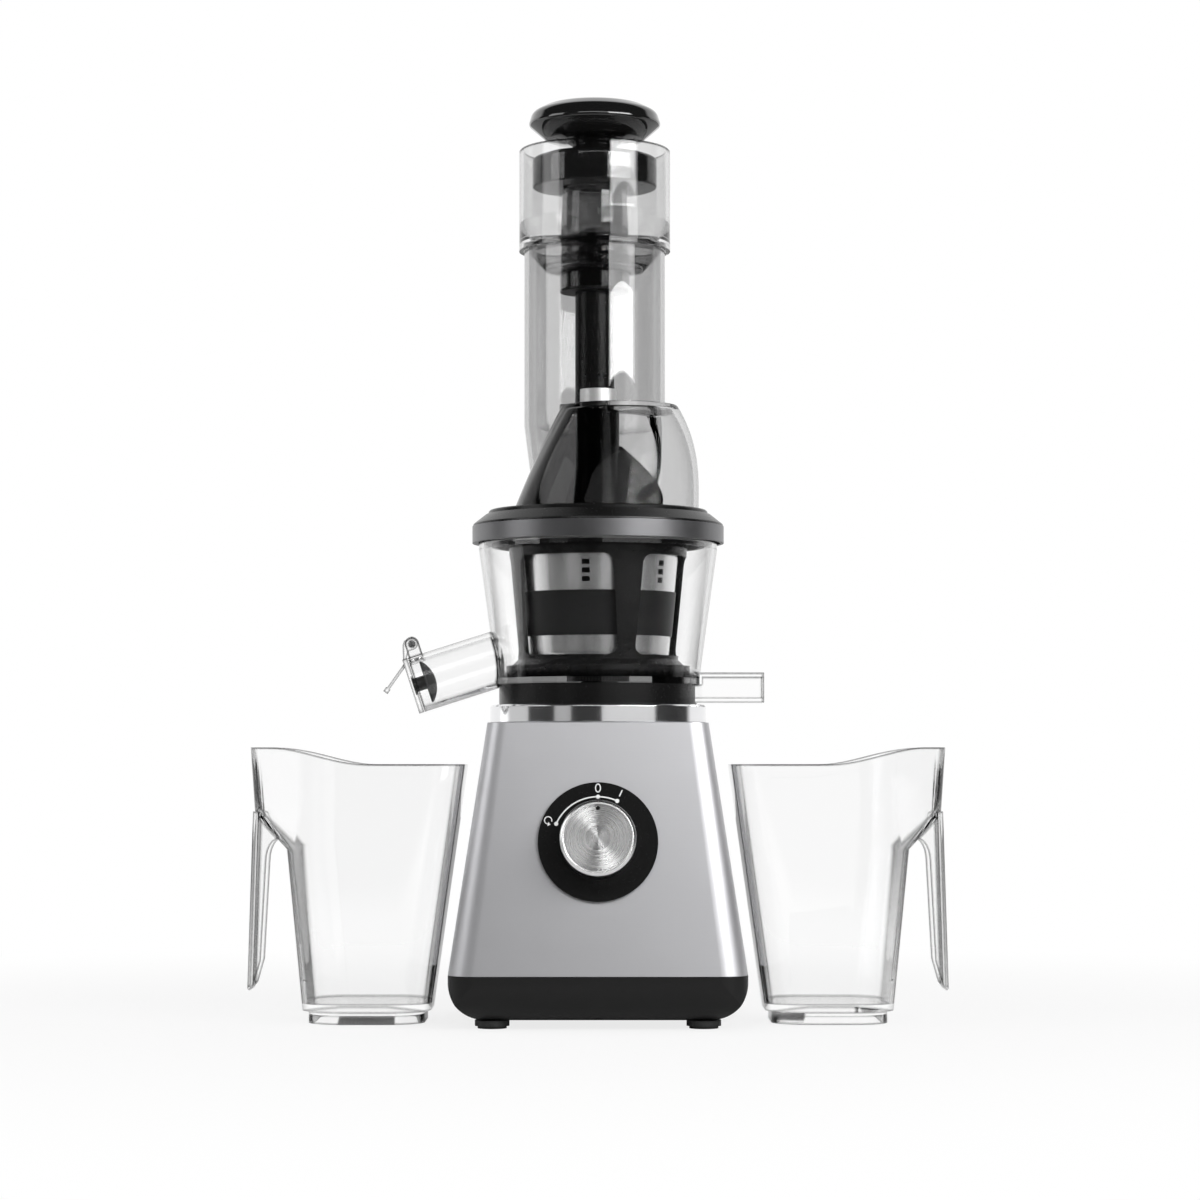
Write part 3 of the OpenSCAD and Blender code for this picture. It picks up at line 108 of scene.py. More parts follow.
def make_camera():
    data = bpy.data.cameras.new("camera")
    data.sensor_width = SENSOR
    data.lens = LENS
    data.shift_y = SHIFT_UP
    data.clip_end = 50
    cam = bpy.data.objects.new("camera", data)
    cam.location = CAMERA_AT
    cam.rotation_euler = (math.radians(90 + CAMERA_TILT), 0, 0)
    scene.collection.objects.link(cam)
    scene.camera = cam


# ---- Node helpers -----------------------------------------------------------------------
class Tree:
    """Short way to build a node tree."""

    def __init__(self, tree):
        self.tree = tree
        tree.nodes.clear()

    def add(self, kind, sockets=(), **props):
        node = self.tree.nodes.new("ShaderNode" + kind)
        for key, value in props.items():
            setattr(node, key, value)
        for key, value in dict(sockets).items():
            if isinstance(value, bpy.types.NodeSocket):
                self.tree.links.new(value, node.inputs[key])
            else:
                node.inputs[key].default_value = value
        return node

    def math(self, op, a, b=0.0):
        return self.add("Math", {0: a, 1: b}, operation=op).outputs[0]

    def ramp(self, value, stops, interpolation="LINEAR"):
        node = self.add("ValToRGB", {0: value})
        node.color_ramp.interpolation = interpolation
        elements = node.color_ramp.elements
        while len(elements) < len(stops):
            elements.new(0.5)
        for element, (at, level) in zip(elements, stops):
            element.position = at
            element.color = (*level, 1) if isinstance(level, tuple) else (level, level, level, 1)
        return node.outputs[0]

    def smoothstep(self, value, start, end, low, high):
        """Level that eases from low to high while the value goes from start to end."""
        return self.add(
            "MapRange",
            {"Value": value, "From Min": start, "From Max": end, "To Min": low, "To Max": high},
            interpolation_type="SMOOTHSTEP",
        ).outputs[0]


def material(name, colour, **sockets):
    """New material with one Principled shader: itself, its tree, that shader and the output."""
    mat = bpy.data.materials.new(name)
    mat.use_nodes = True
    tree = Tree(mat.node_tree)
    shader = tree.add("BsdfPrincipled", {"Base Color": (*colour, 1), **sockets})
    out = tree.add("OutputMaterial")
    tree.tree.links.new(shader.outputs[0], out.inputs[0])
    return mat, tree, shader, out


def link(tree, a, b):
    tree.tree.links.new(a, b)


def object_point(tree, scale=(1, 1, 1)):
    coord = tree.add("TexCoord").outputs["Object"]
    return tree.add("Mapping", {"Vector": coord, "Scale": scale}).outputs[0]


def grain(tree, shader, scale, detail, strength, distance, stretch=(1, 1, 1), rough=None):
    """Fine noise that drives bump and, over a range, roughness."""
    noise = tree.add(
        "TexNoise", {"Vector": object_point(tree, stretch), "Scale": scale, "Detail": detail}
    ).outputs["Fac"]
    edge = tree.add("Bevel", {"Radius": EDGE_ROUND}, samples=4)
    bump = tree.add(
        "Bump",
        {"Height": noise, "Strength": strength, "Distance": distance, "Normal": edge.outputs[0]},
    )
    link(tree, bump.outputs[0], shader.inputs["Normal"])
    if rough:
        spread = tree.add("MapRange", {"Value": noise, "To Min": rough[0], "To Max": rough[1]})
        link(tree, spread.outputs[0], shader.inputs["Roughness"])
    return noise


# ---- Materials --------------------------------------------------------------------------
# Metres over which a clear piece gets painted shade beside its edges, standing in for the dark
# refraction at rounded edges
EDGE_SHADE = 0.0018
# Metres by which the bump rounds an opaque piece's edges
EDGE_ROUND = 0.0004


def brushed(name, colour, rough, stretch, aniso=0.0, scale=40, strength=0.06):
    mat, tree, shader, _ = material(name, colour, Metallic=1.0, Anisotropic=aniso)
    grain(tree, shader, scale, 6, strength, 0.0004, stretch, rough)
    return mat


def gloss(name, colour, rough, coat=0.0):
    mat, tree, shader, _ = material(name, colour, **{"Coat Weight": coat, "Coat Roughness": 0.03})
    grain(tree, shader, 260, 2, 0.015, 0.0002, rough=rough)
    return mat


def satin(name, colour, rough, scale=900, strength=0.12, specular=0.5):
    mat, tree, shader, _ = material(name, colour, **{"Specular IOR Level": specular})
    grain(tree, shader, scale, 3, strength, 0.0003, rough=rough)
    return mat


def clear(name, tint, edge, lamp=0.9, ramp=None, ior=1.5):
    """Clear plastic whose tint drops to edge, as painted shade, where it turns away and beside its
    edges.

    Shadow rays pass with a share lamp, so that lamps reach what it holds. A ramp sets the tint
    along an axis, as that axis and two (metres, tint) pairs; on the dome it is painted shade.
    """
    mat, tree, shader, out = material(
        name, (tint, tint, tint), IOR=ior, Roughness=0.0, **{"Transmission Weight": 1.0}
    )
    # Painted shade where the surface turns away, standing in for dark refraction at silhouettes
    facing = tree.add("LayerWeight", {"Blend": 0.5}).outputs["Facing"]
    shade = tree.ramp(facing, [(0.0, 1.0), (0.44, 1.0), (0.72, (1 + edge) / 2), (1.0, edge)])
    # Painted shade beside edges, where the bevelled normal bends away from the true one
    soft = tree.add("Bevel", {"Radius": EDGE_SHADE}, samples=3)
    flat = tree.add("NewGeometry").outputs["True Normal"]
    bend = tree.add("VectorMath", {0: soft.outputs[0], 1: flat}, operation="DOT_PRODUCT")
    rim = tree.ramp(bend.outputs["Value"], [(0.0, edge), (0.94, edge), (0.995, 1.0)])
    body = tint
    if ramp:
        axis, (low, dark), (high, light) = ramp
        coord = tree.add("TexCoord").outputs["Object"]
        along = tree.add("SeparateXYZ", {0: coord}).outputs[axis]
        body = tree.smoothstep(along, low, high, dark, light)
    level = tree.math("MULTIPLY", tree.math("MULTIPLY", shade, rim), body)
    link(tree, level, shader.inputs["Base Color"])
    passed = tree.add("BsdfTransparent", {"Color": (lamp, lamp, lamp, 1)})
    path = tree.add("LightPath")
    mix = tree.add(
        "MixShader",
        {0: path.outputs["Is Shadow Ray"], 1: shader.outputs[0], 2: passed.outputs[0]},
    )
    link(tree, mix.outputs[0], out.inputs[0])
    return mat


def spun_metal():
    """Turned face of the knob: rings round its own axis, with a radial gleam."""
    mat, tree, shader, _ = material(
        "spun_aluminium", (0.74, 0.74, 0.74), Metallic=1.0, Anisotropic=0.95
    )
    coord = tree.add("TexCoord").outputs["Object"]
    radius = tree.add("VectorMath", {0: coord}, operation="LENGTH").outputs["Value"]
    rings = tree.add(
        "TexNoise", {"W": tree.math("MULTIPLY", radius, 900), "Scale": 1, "Detail": 4},
        noise_dimensions="1D",
    ).outputs["Fac"]
    bump = tree.add("Bump", {"Height": rings, "Strength": 0.25, "Distance": 0.0003})
    tangent = tree.add("Tangent", direction_type="RADIAL", axis="Z")
    link(tree, bump.outputs[0], shader.inputs["Normal"])
    link(tree, tangent.outputs[0], shader.inputs["Tangent"])
    spread = tree.add("MapRange", {"Value": rings, "To Min": 0.18, "To Max": 0.36})
    link(tree, spread.outputs[0], shader.inputs["Roughness"])
    return mat


# brushed: colour, roughness range, stretch of the grain, anisotropy, grain scale and strength
# satin: colour, roughness range, grain scale and strength
# clear: tint, painted shade tint at the edges and silhouettes, share passed to lamps
MAT = {
    "stainless": brushed("stainless", (0.50, 0.50, 0.515), (0.38, 0.48), (1, 1, 60), 0.3),
    "polished_ring": brushed(
        "polished_ring", (0.82, 0.82, 0.83), (0.10, 0.16), (40, 40, 1), 0, 12, 0.01
    ),
    "satin_ring": brushed("satin_ring", (0.17, 0.17, 0.175), (0.30, 0.38), (1, 1, 1), 0.2, 400),
    "bright_steel": brushed("bright_steel", (0.70, 0.70, 0.71), (0.12, 0.24), (1, 1, 8), 0.0),
    "strainer_steel": brushed("strainer_steel", (0.88, 0.88, 0.88), (0.18, 0.30), (8, 8, 1), 0.0),
    "cast_alloy": brushed("cast_alloy", (0.52, 0.52, 0.52), (0.45, 0.60), (1, 1, 1), 0, 300, 0.3),
    "spun_aluminium": spun_metal(),
    "motor_steel": brushed("motor_steel", (0.30, 0.31, 0.32), (0.35, 0.5), (1, 1, 20), 0.0),
    "copper": brushed("copper", (0.72, 0.33, 0.17), (0.25, 0.4), (1, 1, 30), 0.0),
    "carbon": satin("carbon", (0.03, 0.03, 0.032), (0.5, 0.65)),
    "nylon": satin("nylon", (0.72, 0.69, 0.58), (0.35, 0.45), 500, 0.05),
    "board_green": satin("board_green", (0.02, 0.13, 0.05), (0.3, 0.45)),
    "matte_black": satin("matte_black", (0.007, 0.007, 0.007), (0.36, 0.46), specular=0.22),
    "gloss_black": gloss("gloss_black", (0.004, 0.004, 0.004), (0.06, 0.09), 0.6),
    "soft_black": satin("soft_black", (0.005, 0.005, 0.005), (0.22, 0.3), 700, 0.04, 0.22),
    "black_rubber": satin("black_rubber", (0.014, 0.014, 0.014), (0.55, 0.7), 600, 0.2),
    "grey_silicone": satin("grey_silicone", (0.20, 0.20, 0.20), (0.4, 0.5), 500, 0.05),
    "clear": clear("clear", 1.0, 0.07, ior=1.38),
    "cup_smoke": clear("cup_smoke", 0.60, 0.7, 0.7, ior=1.38),
    "neck_smoke": clear("neck_smoke", 0.34, 0.3, 0.4),
    "smoke": clear("smoke", 0.66, 0.12, 0.6),
    # Dome: smoke tint with painted shade, darker towards -X, standing in for the dark reflection
    # along its left wall
    "dome_smoke_painted_shade": clear("dome_smoke_painted_shade", 0.66, 0.3, 0.6, ("X", (0.0, 0.12), (0.016, 0.76)), 1.15),
    "bowl_clear": clear("bowl_clear", 1.0, 0.25, 0.9, ("Z", (0.1935, 0.2), (0.198, 1.0)), 1.42),
    "print_white": satin("print_white", (0.80, 0.80, 0.80), (0.4, 0.5), 900, 0.02),
}

# Where a node's look isn't its slot's own
NODE_LOOK = {
    "strainer_cone": "strainer_steel",
    "brush_cage": "soft_black",
    "strainer_base": "soft_black",
    "small_pusher": "soft_black",
    "auger": "soft_black",
    "bearing_cap": "cast_alloy",
    "bowl_shell": "bowl_clear",
    "bowl_collar": "soft_black",
    "lock_ring_trim": "soft_black",
    "dial_plate": "soft_black",
}


SLOTS = {row["node"]: row["material_slot"] for row in frame["record"]["subparts"]}


def look_of(node):
    return NODE_LOOK.get(node, SLOTS[node])


def finish_nodes():
    for name, obj in frame["nodes"].items():
        obj.data.materials.clear()
        obj.data.materials.append(MAT[look_of(name)])


# ---- Mesh helpers -----------------------------------------------------------------------
def new_piece(name, mesh, look, body, replaces=(), matrix=None):
    obj = bpy.data.objects.new(name, mesh)
    scene.collection.objects.link(obj)
    if matrix is not None:
        obj.matrix_world = matrix
    for key in [look] if isinstance(look, str) else look:
        mesh.materials.append(MAT[key])
    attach(obj, body)
    if replaces:
        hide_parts(*replaces)
    return obj


def sharpen(mesh, angle):
    """Smooth faces, with the edges steeper than angle kept sharp."""
    for face in mesh.polygons:
        face.use_smooth = True
    mesh.set_sharp_from_angle(angle=math.radians(angle))


def rounded(points, radii, steps=5):
    """Outline with each corner replaced by an arc; radii holds one radius a corner, 0 for none."""
    out = []
    count = len(points)
    for i, radius in enumerate(radii):
        p = Vector(points[i])
        a, b = Vector(points[i - 1]) - p, Vector(points[(i + 1) % count]) - p
        if radius == 0 or a.length < TINY or b.length < TINY:
            out.append(tuple(p))
            continue
        half = a.angle(b) / 2
        cut = min(radius / math.tan(half), a.length * 0.49, b.length * 0.49)
        r = cut * math.tan(half)
        start, end = p + a.normalized() * cut, p + b.normalized() * cut
        centre = p + (a.normalized() + b.normalized()).normalized() * (r / math.sin(half))
        u, v = start - centre, end - centre
        turn = u.angle(v)
        if turn < 1e-4:
            out.append(tuple(p))
            continue
        for k in range(steps + 1):
            t = k / steps
            w = (u * math.sin((1 - t) * turn) + v * math.sin(t * turn)) / math.sin(turn)
            out.append(tuple(centre + w))
    return out


def lathe(name, outline, segments=ROUND, centre=(0, 0), base=0.0, angle=28):
    """Solid of round rings, (radius, height) or (radius, height, x, y) in millimetres."""
    mesh = bpy.data.meshes.new(name)
    bm = bmesh.new()
    rings = []
    for r, z, *own in outline:
        x, y = own or centre
        if r < TINY:
            v = bm.verts.new((x * MM, y * MM, (base + z) * MM))
            rings.append([v] * segments)
        else:
            rings.append([
                bm.verts.new((
                    (x + r * math.cos(2 * math.pi * k / segments)) * MM,
                    (y + r * math.sin(2 * math.pi * k / segments)) * MM,
                    (base + z) * MM,
                ))
                for k in range(segments)
            ])
    for i in range(len(rings)):
        low, high = rings[i], rings[(i + 1) % len(rings)]
        if low[0] is low[1] and high[0] is high[1]:
            continue
        for k in range(segments):
            n = (k + 1) % segments
            corners = []
            for v in (low[k], low[n], high[n], high[k]):
                if v not in corners:
                    corners.append(v)
            if len(corners) > 2:
                bm.faces.new(corners)
    bmesh.ops.recalc_face_normals(bm, faces=bm.faces)
    bm.to_mesh(mesh)
    bm.free()
    sharpen(mesh, angle)
    return mesh


def cut(name, base, steps, angle=30):
    """Mesh of a solid after boolean steps, each an operation and the other solid."""
    obj = bpy.data.objects.new(name, base)
    scene.collection.objects.link(obj)
    extras = [obj]
    for operation, mesh in steps:
        tool = bpy.data.objects.new(mesh.name, mesh)
        scene.collection.objects.link(tool)
        extras.append(tool)
        step = obj.modifiers.new(mesh.name, "BOOLEAN")
        step.operation, step.object, step.solver = operation, tool, "EXACT"
    bpy.context.view_layer.update()
    graph = bpy.context.evaluated_depsgraph_get()
    mesh = bpy.data.meshes.new_from_object(obj.evaluated_get(graph))
    for extra in extras:
        bpy.data.objects.remove(extra)
    mesh.materials.clear()
    sharpen(mesh, angle)
    return mesh


def paint(mesh, rule):
    """Material number of each face, by its middle in millimetres."""
    for face in mesh.polygons:
        face.material_index = rule(face.center / MM)


def welded(node, angle=30):
    """Copy of a CAD node's mesh with its facets joined, for a piece that replaces the node."""
    mesh = bpy.data.meshes.new(node + "_look")
    bm = bmesh.new()
    bm.from_mesh(frame["nodes"][node].data)
    bmesh.ops.remove_doubles(bm, verts=bm.verts, dist=2e-6)
    bmesh.ops.dissolve_limit(
        bm, angle_limit=math.radians(0.4), verts=bm.verts, edges=bm.edges
    )
    bm.to_mesh(mesh)
    bm.free()
    sharpen(mesh, angle)
    return mesh


def body_of(node):
    return frame["nodes"][node]["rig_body"]


# ---- Pieces -----------------------------------------------------------------------------
def face_frame(lift):
    """Frame on the front face at the dial: local Z is the outward normal."""
    up = Vector((0, math.sin(FACE_TILT), math.cos(FACE_TILT)))
    out = Vector((0, -math.cos(FACE_TILT), math.sin(FACE_TILT)))
    at = Vector((0, -DIAL_HALF, DIAL_Z)) * MM + out * lift * MM
    return Matrix((
        (1, up.x, out.x, at.x), (0, up.y, out.y, at.y), (0, up.z, out.z, at.z), (0, 0, 0, 1)
    ))


def make_knob():
    inner = KNOB_R - 1.5
    outline = rounded(
        [
            (0, KNOB_H - 0.45), (KNOB_R - 2.2, KNOB_H - 0.45), (KNOB_R - 1.6, KNOB_H),
            (KNOB_R, KNOB_H - 1.4), (KNOB_R, 1), (inner, 1), (inner, KNOB_H - 3), (0, KNOB_H - 3),
        ],
        [0, 0.3, 0.4, 0.7, 0.3, 0, 0, 0],
    )
    mesh = lathe("knob_cap", outline)
    new_piece(
        "knob_cap", mesh, "spun_aluminium", "dial", ["knob"], face_frame(DIAL_T)
    )
    dot = bpy.data.meshes.new("knob_dot")
    bm = bmesh.new()
    bmesh.ops.create_cone(
        bm, cap_ends=True, segments=32, radius1=1.25 * MM, radius2=1.1 * MM, depth=0.3 * MM,
        matrix=Matrix.Translation((0, 16.2 * MM, (KNOB_H - 0.4) * MM)),
    )
    bm.to_mesh(dot)
    bm.free()
    sharpen(dot, 30)
    new_piece("knob_dot", dot, "soft_black", "dial", matrix=face_frame(DIAL_T))


def ribbon(bm, points, width, height, closed=False):
    """Flat raised line along points of a plane."""
    count = len(points)
    rows = []
    for i, p in enumerate(points):
        a = points[i - 1] if i or closed else p
        b = points[(i + 1) % count] if i < count - 1 or closed else p
        d = (Vector(b) - Vector(a)).normalized()
        n = Vector((-d.y, d.x)) * width / 2
        q = Vector(p)
        rows.append([
            bm.verts.new((*(q + n), 0)), bm.verts.new((*(q - n), 0)),
            bm.verts.new((*(q - n), height)), bm.verts.new((*(q + n), height)),
        ])
    last = count if closed else count - 1
    for i in range(last):
        a, b = rows[i], rows[(i + 1) % count]
        for k in range(4):
            bm.faces.new((a[k], a[(k + 1) % 4], b[(k + 1) % 4], b[k]))
    if not closed:
        bm.faces.new(rows[0])
        bm.faces.new(rows[-1][::-1])


def polar(radius, degrees):
    a = math.radians(degrees)
    return (radius * math.sin(a), radius * math.cos(a))


def make_dial_marks():
    """Printed arc with three dots, the figures 0 and 1 and a curved arrow."""
    line, high = 0.75 * MM, 0.1 * MM
    arc_r, figure_r = 24.8 * MM, 29.6 * MM
    marks = reverse, off, on = -66.5, 0, 25
    mesh = bpy.data.meshes.new("dial_marks")
    bm = bmesh.new()
    ribbon(bm, [polar(arc_r, a / 2) for a in range(2 * -66, 2 * on + 1, 4)], line, high)
    for a in marks:
        bmesh.ops.create_cone(
            bm, cap_ends=True, segments=24, radius1=1.15 * MM, radius2=1.15 * MM, depth=2 * high,
            matrix=Matrix.Translation((*polar(arc_r, a), high / 2)),
        )
    zero = Vector(polar(figure_r, off))
    ribbon(
        bm,
        [
            zero + Vector((1.35 * MM * math.cos(t), 2.2 * MM * math.sin(t)))
            for t in [2 * math.pi * k / 28 for k in range(28)]
        ],
        0.62 * MM, high, closed=True,
    )
    ribbon(bm, [polar(27.6 * MM, on), polar(31.4 * MM, on)], 0.65 * MM, high)
    hub, turn = Vector(polar(figure_r, reverse)), 2.0 * MM
    sweep = [
        hub + turn * Vector((math.cos(t), math.sin(t)))
        for t in [math.radians(d) for d in range(-20, 271, 15)]
    ]
    ribbon(bm, sweep, 0.55 * MM, high)
    along = (sweep[-1] - sweep[-2]).normalized()
    side = Vector((-along.y, along.x))
    head = [sweep[-1] + MM * p for p in (1.5 * along, 1.2 * side, -1.2 * side)]
    top = [bm.verts.new((*p, high)) for p in head]
    low = [bm.verts.new((*p, 0)) for p in head]
    bm.faces.new(top)
    bm.faces.new(low[::-1])
    for k in range(3):
        bm.faces.new((low[k], low[(k + 1) % 3], top[(k + 1) % 3], top[k]))
    bmesh.ops.recalc_face_normals(bm, faces=bm.faces)
    bm.to_mesh(mesh)
    bm.free()
    new_piece(
        "dial_marks", mesh, "print_white", "motor_unit", matrix=face_frame(DIAL_T)
    )


def make_pusher():
    """Mushroom-shaped pusher that closes the wide tube."""
    outline = rounded(
        [
            (0, 0), (36.3, 0), (36.3, 17), (30.3, 19.2), (16, 21), (12.3, 25), (12.3, 24.5),
            (16.3, 26.5), (28.6, 28.5), (38.6, 37), (36.6, 44), (28, 48.6), (0, 50),
        ],
        [0, 1, 2.5, 4, 3, 2, 1, 2, 3, 2.2, 6, 14, 0],
        8,
    )
    outline = [p for i, p in enumerate(outline) if i == 0 or Vector(p) != Vector(outline[i - 1])]
    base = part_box("large_pusher")[0].z / MM
    mesh = lathe("pusher_head", outline, centre=TUBE, base=base, angle=40)
    new_piece(
        "pusher_head", mesh, "gloss_black", body_of("large_pusher"), ["large_pusher"]
    )


def through(column, share):
    """Smooth curve through the dome's slices, at a share of its height."""
    total = 0.0
    for i, a in enumerate(DOME_SLICES):
        weight = 1.0
        for j, b in enumerate(DOME_SLICES):
            if i != j:
                weight *= (share - b[0]) / (a[0] - b[0])
        total += weight * a[column]
    return total


# Millimetres by which the lid's walls sink into its flange, and a hollow goes on below them
SINK = 0.1
DEEPER = 4


def dome_rings(inset, steps=30):
    """Rings of the dome, or of its hollow where inset is the wall's thickness."""
    top = DOME_SLICES[-1][0]
    height = DOME_H + 1 - inset
    rings = [(0, LID_Z - SINK - DEEPER * bool(inset), DOME_SLICES[0][1], DOME_Y)]
    if inset:
        foot = LID_Z - (DEEPER + SINK)
        rings.append((DOME_SLICES[0][2] - inset, foot, DOME_SLICES[0][1], DOME_Y))
    for i in range(steps + 1):
        share = top * i / steps
        z = max(LID_Z - SINK, LID_Z - 1 + share * height)
        rings.append((through(2, share) - inset, z, through(1, share), DOME_Y))
    x, r, high = DOME_SLICES[-1][1], DOME_SLICES[-1][2] - inset, LID_Z - 1 + height
    for back, down in ((0.5, 0.9), (1.1, 0.25), (2.0, 0)):
        rings.append((r - back, high - down, x, DOME_Y))
    rings.append((0, high, x, DOME_Y))
    return rings


def tube_rings(inset, steps=24, levels=11):
    """Rings of the chute and feed tube in one, or of their hollow."""
    foot, top = LID_Z - SINK - DEEPER * bool(inset), TUBE_TOP + bool(inset)
    r = TUBE_R - inset
    rings = [(0, foot, *CHUTE_FOOT)]
    for i in range(steps + 1):
        z = foot + (CHUTE_TOP - foot) * i / steps
        t = (z - LID_Z) / (CHUTE_TOP - LID_Z)
        rings.append((
            CHUTE_FOOT_R + (TUBE_R - CHUTE_FOOT_R) * t - inset, z,
            CHUTE_FOOT[0] + (TUBE[0] - CHUTE_FOOT[0]) * t,
            CHUTE_FOOT[1] + (TUBE[1] - CHUTE_FOOT[1]) * t,
        ))
    for i in range(1, levels + 1):
        rings.append((r, CHUTE_TOP + (top - 1 - CHUTE_TOP) * i / levels, *TUBE))
    rings += [(r, top - 0.5, *TUBE), (r - 0.5, top, *TUBE), (0, top, *TUBE)]
    return rings


def make_lid():
    """Smoky dome, chute and tube on a black flange."""
    hub_r, hub_low, hub_high = 7.6, LID_Z + DOME_H - 8, LID_Z + DOME_H + 5
    hub = [(0, hub_low), (hub_r, hub_low), (hub_r, hub_high), (0, hub_high)]
    mesh = cut(
        "lid_dome", lathe("dome", dome_rings(0)),
        [
            ("UNION", lathe("tube", tube_rings(0))),
            ("DIFFERENCE", lathe("dome_inside", dome_rings(LID_WALL))),
            ("DIFFERENCE", lathe("tube_inside", tube_rings(TUBE_WALL))),
            ("DIFFERENCE", lathe("hub_hole", hub, HOLE_ROUND)),
        ],
    )
    near = 3

    def rule(at):
        """0 for the dome, whose wall or roof is near, and 1 for the chute and tube."""
        share = (at.z - LID_Z + 1) / (DOME_H + 1)
        away = math.hypot(at.x - through(1, share), at.y - DOME_Y) - through(2, share)
        wall = abs(away + LID_WALL / 2) < near
        roof = share > 0.95 and away < near
        return 0 if share < 1.1 and (wall or roof) else 1

    paint(mesh, rule)
    new_piece("lid_dome", mesh, ["dome_smoke_painted_shade", "smoke"], "lid", ["lid_shell"])
    x, r = DOME_SLICES[0][1], DOME_SLICES[0][2] - LID_WALL - 0.3
    inner, outer, groove = FLANGE_R - 4.6, FLANGE_R - 1.8, FLANGE_R - 3
    under, foot = LID_Z - 4.9, LID_Z - 21
    flange = [
        (FLANGE_R, under), (FLANGE_R, LID_Z - 0.7), (FLANGE_R - 0.7, LID_Z),
        (r, LID_Z, x, DOME_Y), (r, LID_Z - 5, x, DOME_Y), (inner, LID_Z - 5),
        (inner, foot), (outer, foot), (outer, LID_Z - 19),
        (groove, LID_Z - 19), (groove, LID_Z - 16), (outer, LID_Z - 16), (outer, under),
    ]
    new_piece(
        "lid_flange", lathe("lid_flange", flange), "soft_black", "lid", ["lid_shell"]
    )


def make_cup():
    """Hopper cup: clear skirt, smoky bowl, dark neck. Heights are above CUP_Z."""
    skirt, wall, rim, neck, bore, top = 44, 2.4, 56, 18.8, 16.4, 33.5
    low, collar, edge, foot = -14, 20.3, 38.2, -3
    inside, end = skirt - wall, low - 11.5
    shoulder, steps = 20, 24
    bowl = [
        (
            neck + 1 + (inside - neck - 1) * math.cos(math.pi / 2 * i / steps),
            shoulder + (low - shoulder) * math.sin(math.pi / 2 * i / steps),
        )
        for i in range(steps, -1, -1)
    ]
    outline = [
        (skirt, rim - 0.8), (skirt, foot), (inside, foot), (inside, 0), (edge, 0), (edge, -5),
        (collar + 8, low - 1), (collar, low - 2.6), (collar, end), (bore, end),
        (bore, top - 0.6), (bore + 0.6, top), (neck - 0.6, top), (neck, top - 0.6),
        *bowl, (inside, rim - 0.8), (inside + 0.6, rim), (skirt - 0.6, rim),
    ]
    mesh = lathe("cup_wall", outline, 200, TUBE, CUP_Z, 32)

    def rule(at):
        """2 for the neck, 1 for the bowl and 0 for the skirt."""
        r = math.hypot(at.x - TUBE[0], at.y - TUBE[1])
        z = at.z - CUP_Z
        if r < neck + 0.9 or z < low - 2:
            return 2
        return 1 if r < inside + 0.05 else 0

    paint(mesh, rule)
    new_piece(
        "cup_wall", mesh, ["clear", "cup_smoke", "neck_smoke"], "hopper", ["hopper_cup"]
    )


def make_smooth_shells():
    """Faceted CAD shells shown with joined, smooth facets."""
    for node, name, angle in (
        ("juice_jug", "juice_jug_body_wall", 30),
        ("pulp_jug", "pulp_jug_body_wall", 30),
        ("housing_shell", "housing_skin", 20),
        ("auger", "auger_screw", 40),
    ):
        new_piece(name, welded(node, angle), look_of(node), body_of(node), [node])


# ---- Stage ------------------------------------------------------------------------------
def straight(tree):
    """1 where the camera looks at the backdrop, through glass or past it."""
    path = tree.add("LightPath").outputs
    turns = tree.math("ADD", path["Diffuse Depth"], path["Glossy Depth"])
    return tree.math("LESS_THAN", turns, 0.5)


def mirrored(tree):
    """1 where the backdrop is seen in something shiny."""
    path = tree.add("LightPath").outputs
    plain = tree.math("LESS_THAN", path["Diffuse Depth"], 0.5)
    return tree.math("MULTIPLY", plain, tree.math("GREATER_THAN", path["Glossy Depth"], 0.5))


# Level of the dark front that shiny things mirror, and of the light on matt ones
FRONT_DIM = 0.03
AMBIENT = 0.42


def make_world():
    world = bpy.data.worlds.new("studio")
    scene.world = world
    world.use_nodes = True
    tree = Tree(world.node_tree)
    way = tree.add("TexCoord").outputs["Generated"]
    y = tree.add("SeparateXYZ", {0: way}).outputs["Y"]
    back_share = tree.add("Math", {0: y, 1: 0.5, 2: 0.5}, operation="MULTIPLY_ADD").outputs[0]
    behind = tree.ramp(
        back_share, [(0.0, FRONT_DIM), (0.66, FRONT_DIM), (0.72, 1.0), (1.0, 1.0)]
    )
    seen, shiny = straight(tree), mirrored(tree)
    plain = tree.add("Mix", {0: shiny}, data_type="RGBA")
    plain.inputs[6].default_value = (AMBIENT, AMBIENT, AMBIENT, 1)
    link(tree, behind, plain.inputs[7])
    colour = tree.add("Mix", {0: seen}, data_type="RGBA")
    link(tree, plain.outputs[2], colour.inputs[6])
    colour.inputs[7].default_value = (1, 1, 1, 1)
    back = tree.add("Background", {"Color": colour.outputs[2], "Strength": 1.0})
    out = tree.add("OutputWorld")
    link(tree, back.outputs[0], out.inputs[0])


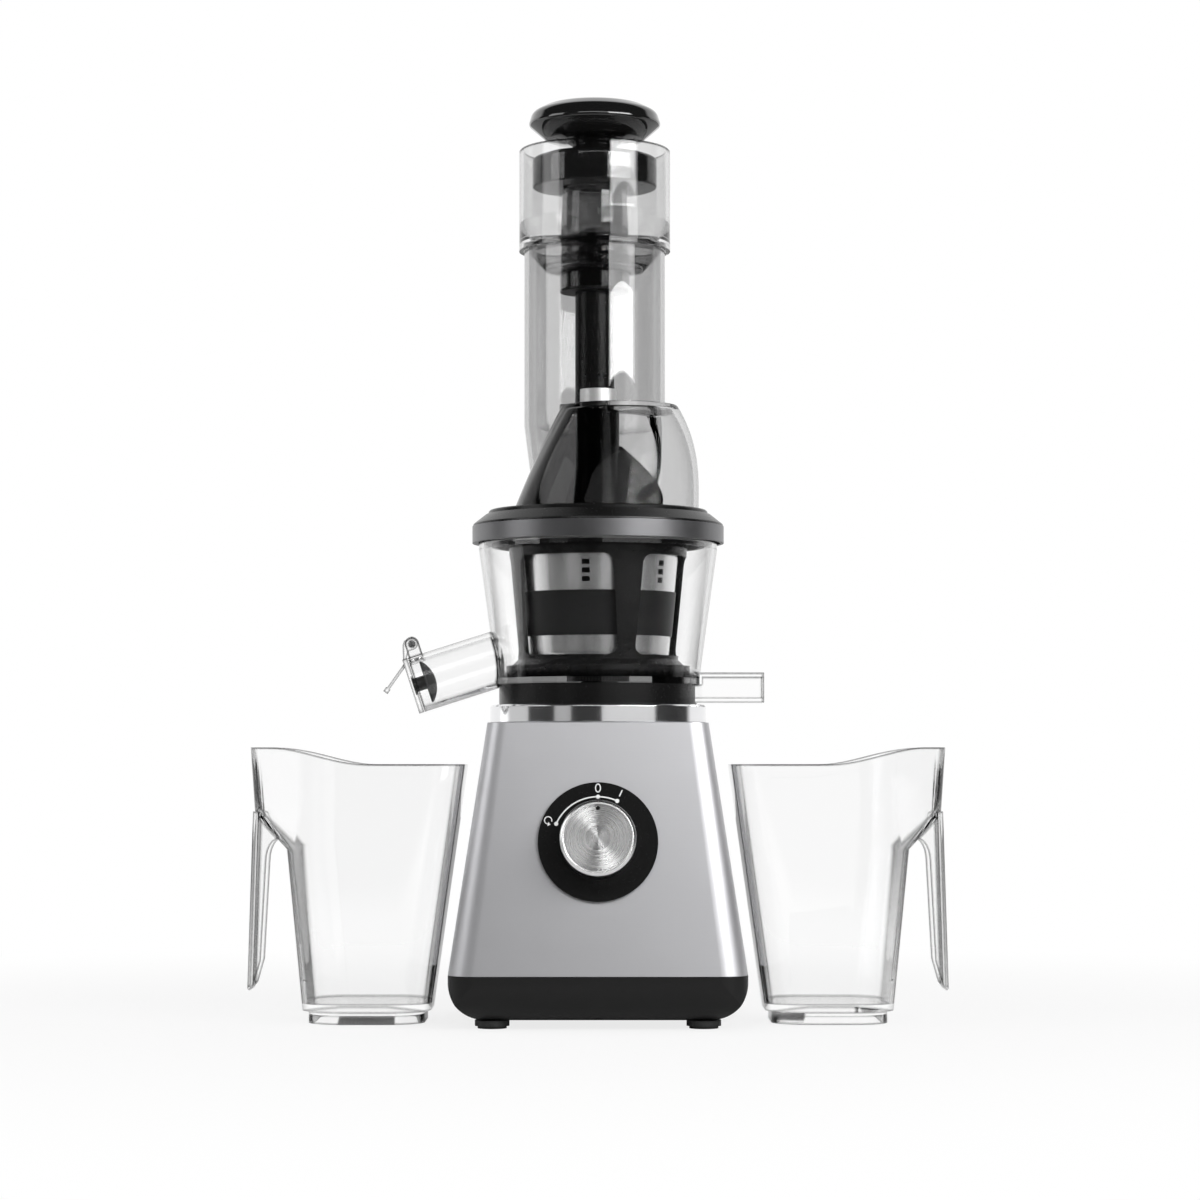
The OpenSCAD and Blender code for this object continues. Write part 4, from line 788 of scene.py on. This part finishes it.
def make_floor():
    """Table that keeps the object's shadow, fades to white, and is dim in front when mirrored."""
    mesh = bpy.data.meshes.new("floor")
    bm = bmesh.new()
    bmesh.ops.create_grid(bm, x_segments=1, y_segments=1, size=5)
    bm.to_mesh(mesh)
    bm.free()
    floor = bpy.data.objects.new("floor", mesh)
    scene.collection.objects.link(floor)
    mat, tree, shader, out = material("floor", (0.86, 0.86, 0.86), Roughness=0.7)
    glow = tree.add("Emission", {"Color": (1, 1, 1, 1), "Strength": 1.0})
    point = tree.add("TexCoord").outputs["Object"]
    far = tree.add("VectorMath", {0: point}, operation="LENGTH").outputs["Value"]
    fade = tree.smoothstep(far, 0.2, 0.8, 0.8, 1.0)
    share = tree.math("MULTIPLY", straight(tree), fade)
    mix = tree.add("MixShader", {0: share, 1: shader.outputs[0], 2: glow.outputs[0]})
    dim = tree.add("Emission", {"Color": (1, 1, 1, 1), "Strength": FRONT_DIM})
    table = tree.smoothstep(far, 0.45, 0.75, 0.0, 1.0)
    depth = tree.add("SeparateXYZ", {0: point}).outputs["Y"]
    front = tree.smoothstep(depth, 0.25, 0.0, 0.0, 1.0)
    dark = tree.math("MULTIPLY", table, front)
    beyond = tree.math("MULTIPLY", mirrored(tree), dark)
    both = tree.add("MixShader", {0: beyond, 1: mix.outputs[0], 2: dim.outputs[0]})
    link(tree, both.outputs[0], out.inputs[0])
    mesh.materials.append(mat)


def softbox(name, azimuths, heights, distance, radiance, gleam=False):
    """Upright area lamp; azimuth 0 is the camera's side, positive to the right.

    A gleam shows in gloss and glass only, and lights nothing else.
    """
    low, high = azimuths
    data = bpy.data.lights.new(name, "AREA")
    data.shape = "RECTANGLE"
    data.size = 2 * distance * math.tan(math.radians(high - low) / 2)
    data.size_y = heights[1] - heights[0]
    data.energy = radiance * math.pi * data.size * data.size_y
    lamp = bpy.data.objects.new(name, data)
    a = math.radians((low + high) / 2)
    away = Vector((math.sin(a), -math.cos(a), 0))
    lamp.location = away * distance + Vector((0, 0, sum(heights) / 2))
    lamp.rotation_euler = away.to_track_quat("Z", "Y").to_euler()
    lamp.visible_diffuse = not gleam
    scene.collection.objects.link(lamp)


def make_lights():
    """Each lamp: azimuths in degrees, heights and distance in metres, radiance."""
    softbox("key_right", (24, 70), (0.52, 1.4), 1.3, 4.5)
    softbox("gleam_low", (26, 66), (0.52, 0.605), 1.28, 9.0, gleam=True)
    softbox("gleam_high", (26, 66), (0.70, 1.05), 1.28, 9.0, gleam=True)
    softbox("fill_left", (-88, -58), (0.35, 1.3), 1.3, 2.6)
    softbox("card_high", (-30, 30), (0.95, 1.6), 1.6, 2.5)
    softbox("card_low", (4, 62), (0.12, 0.42), 1.3, 0.75)
    softbox("strip_low", (-46, -28), (0.12, 0.35), 1.3, 0.45)
    softbox("strip_left", (-125, -78), (0.0, 0.3), 1.3, 0.6)


make_camera()
make_world()
make_floor()
make_lights()
finish_nodes()
make_smooth_shells()
make_lid()
make_cup()
make_knob()
make_dial_marks()
make_pusher()
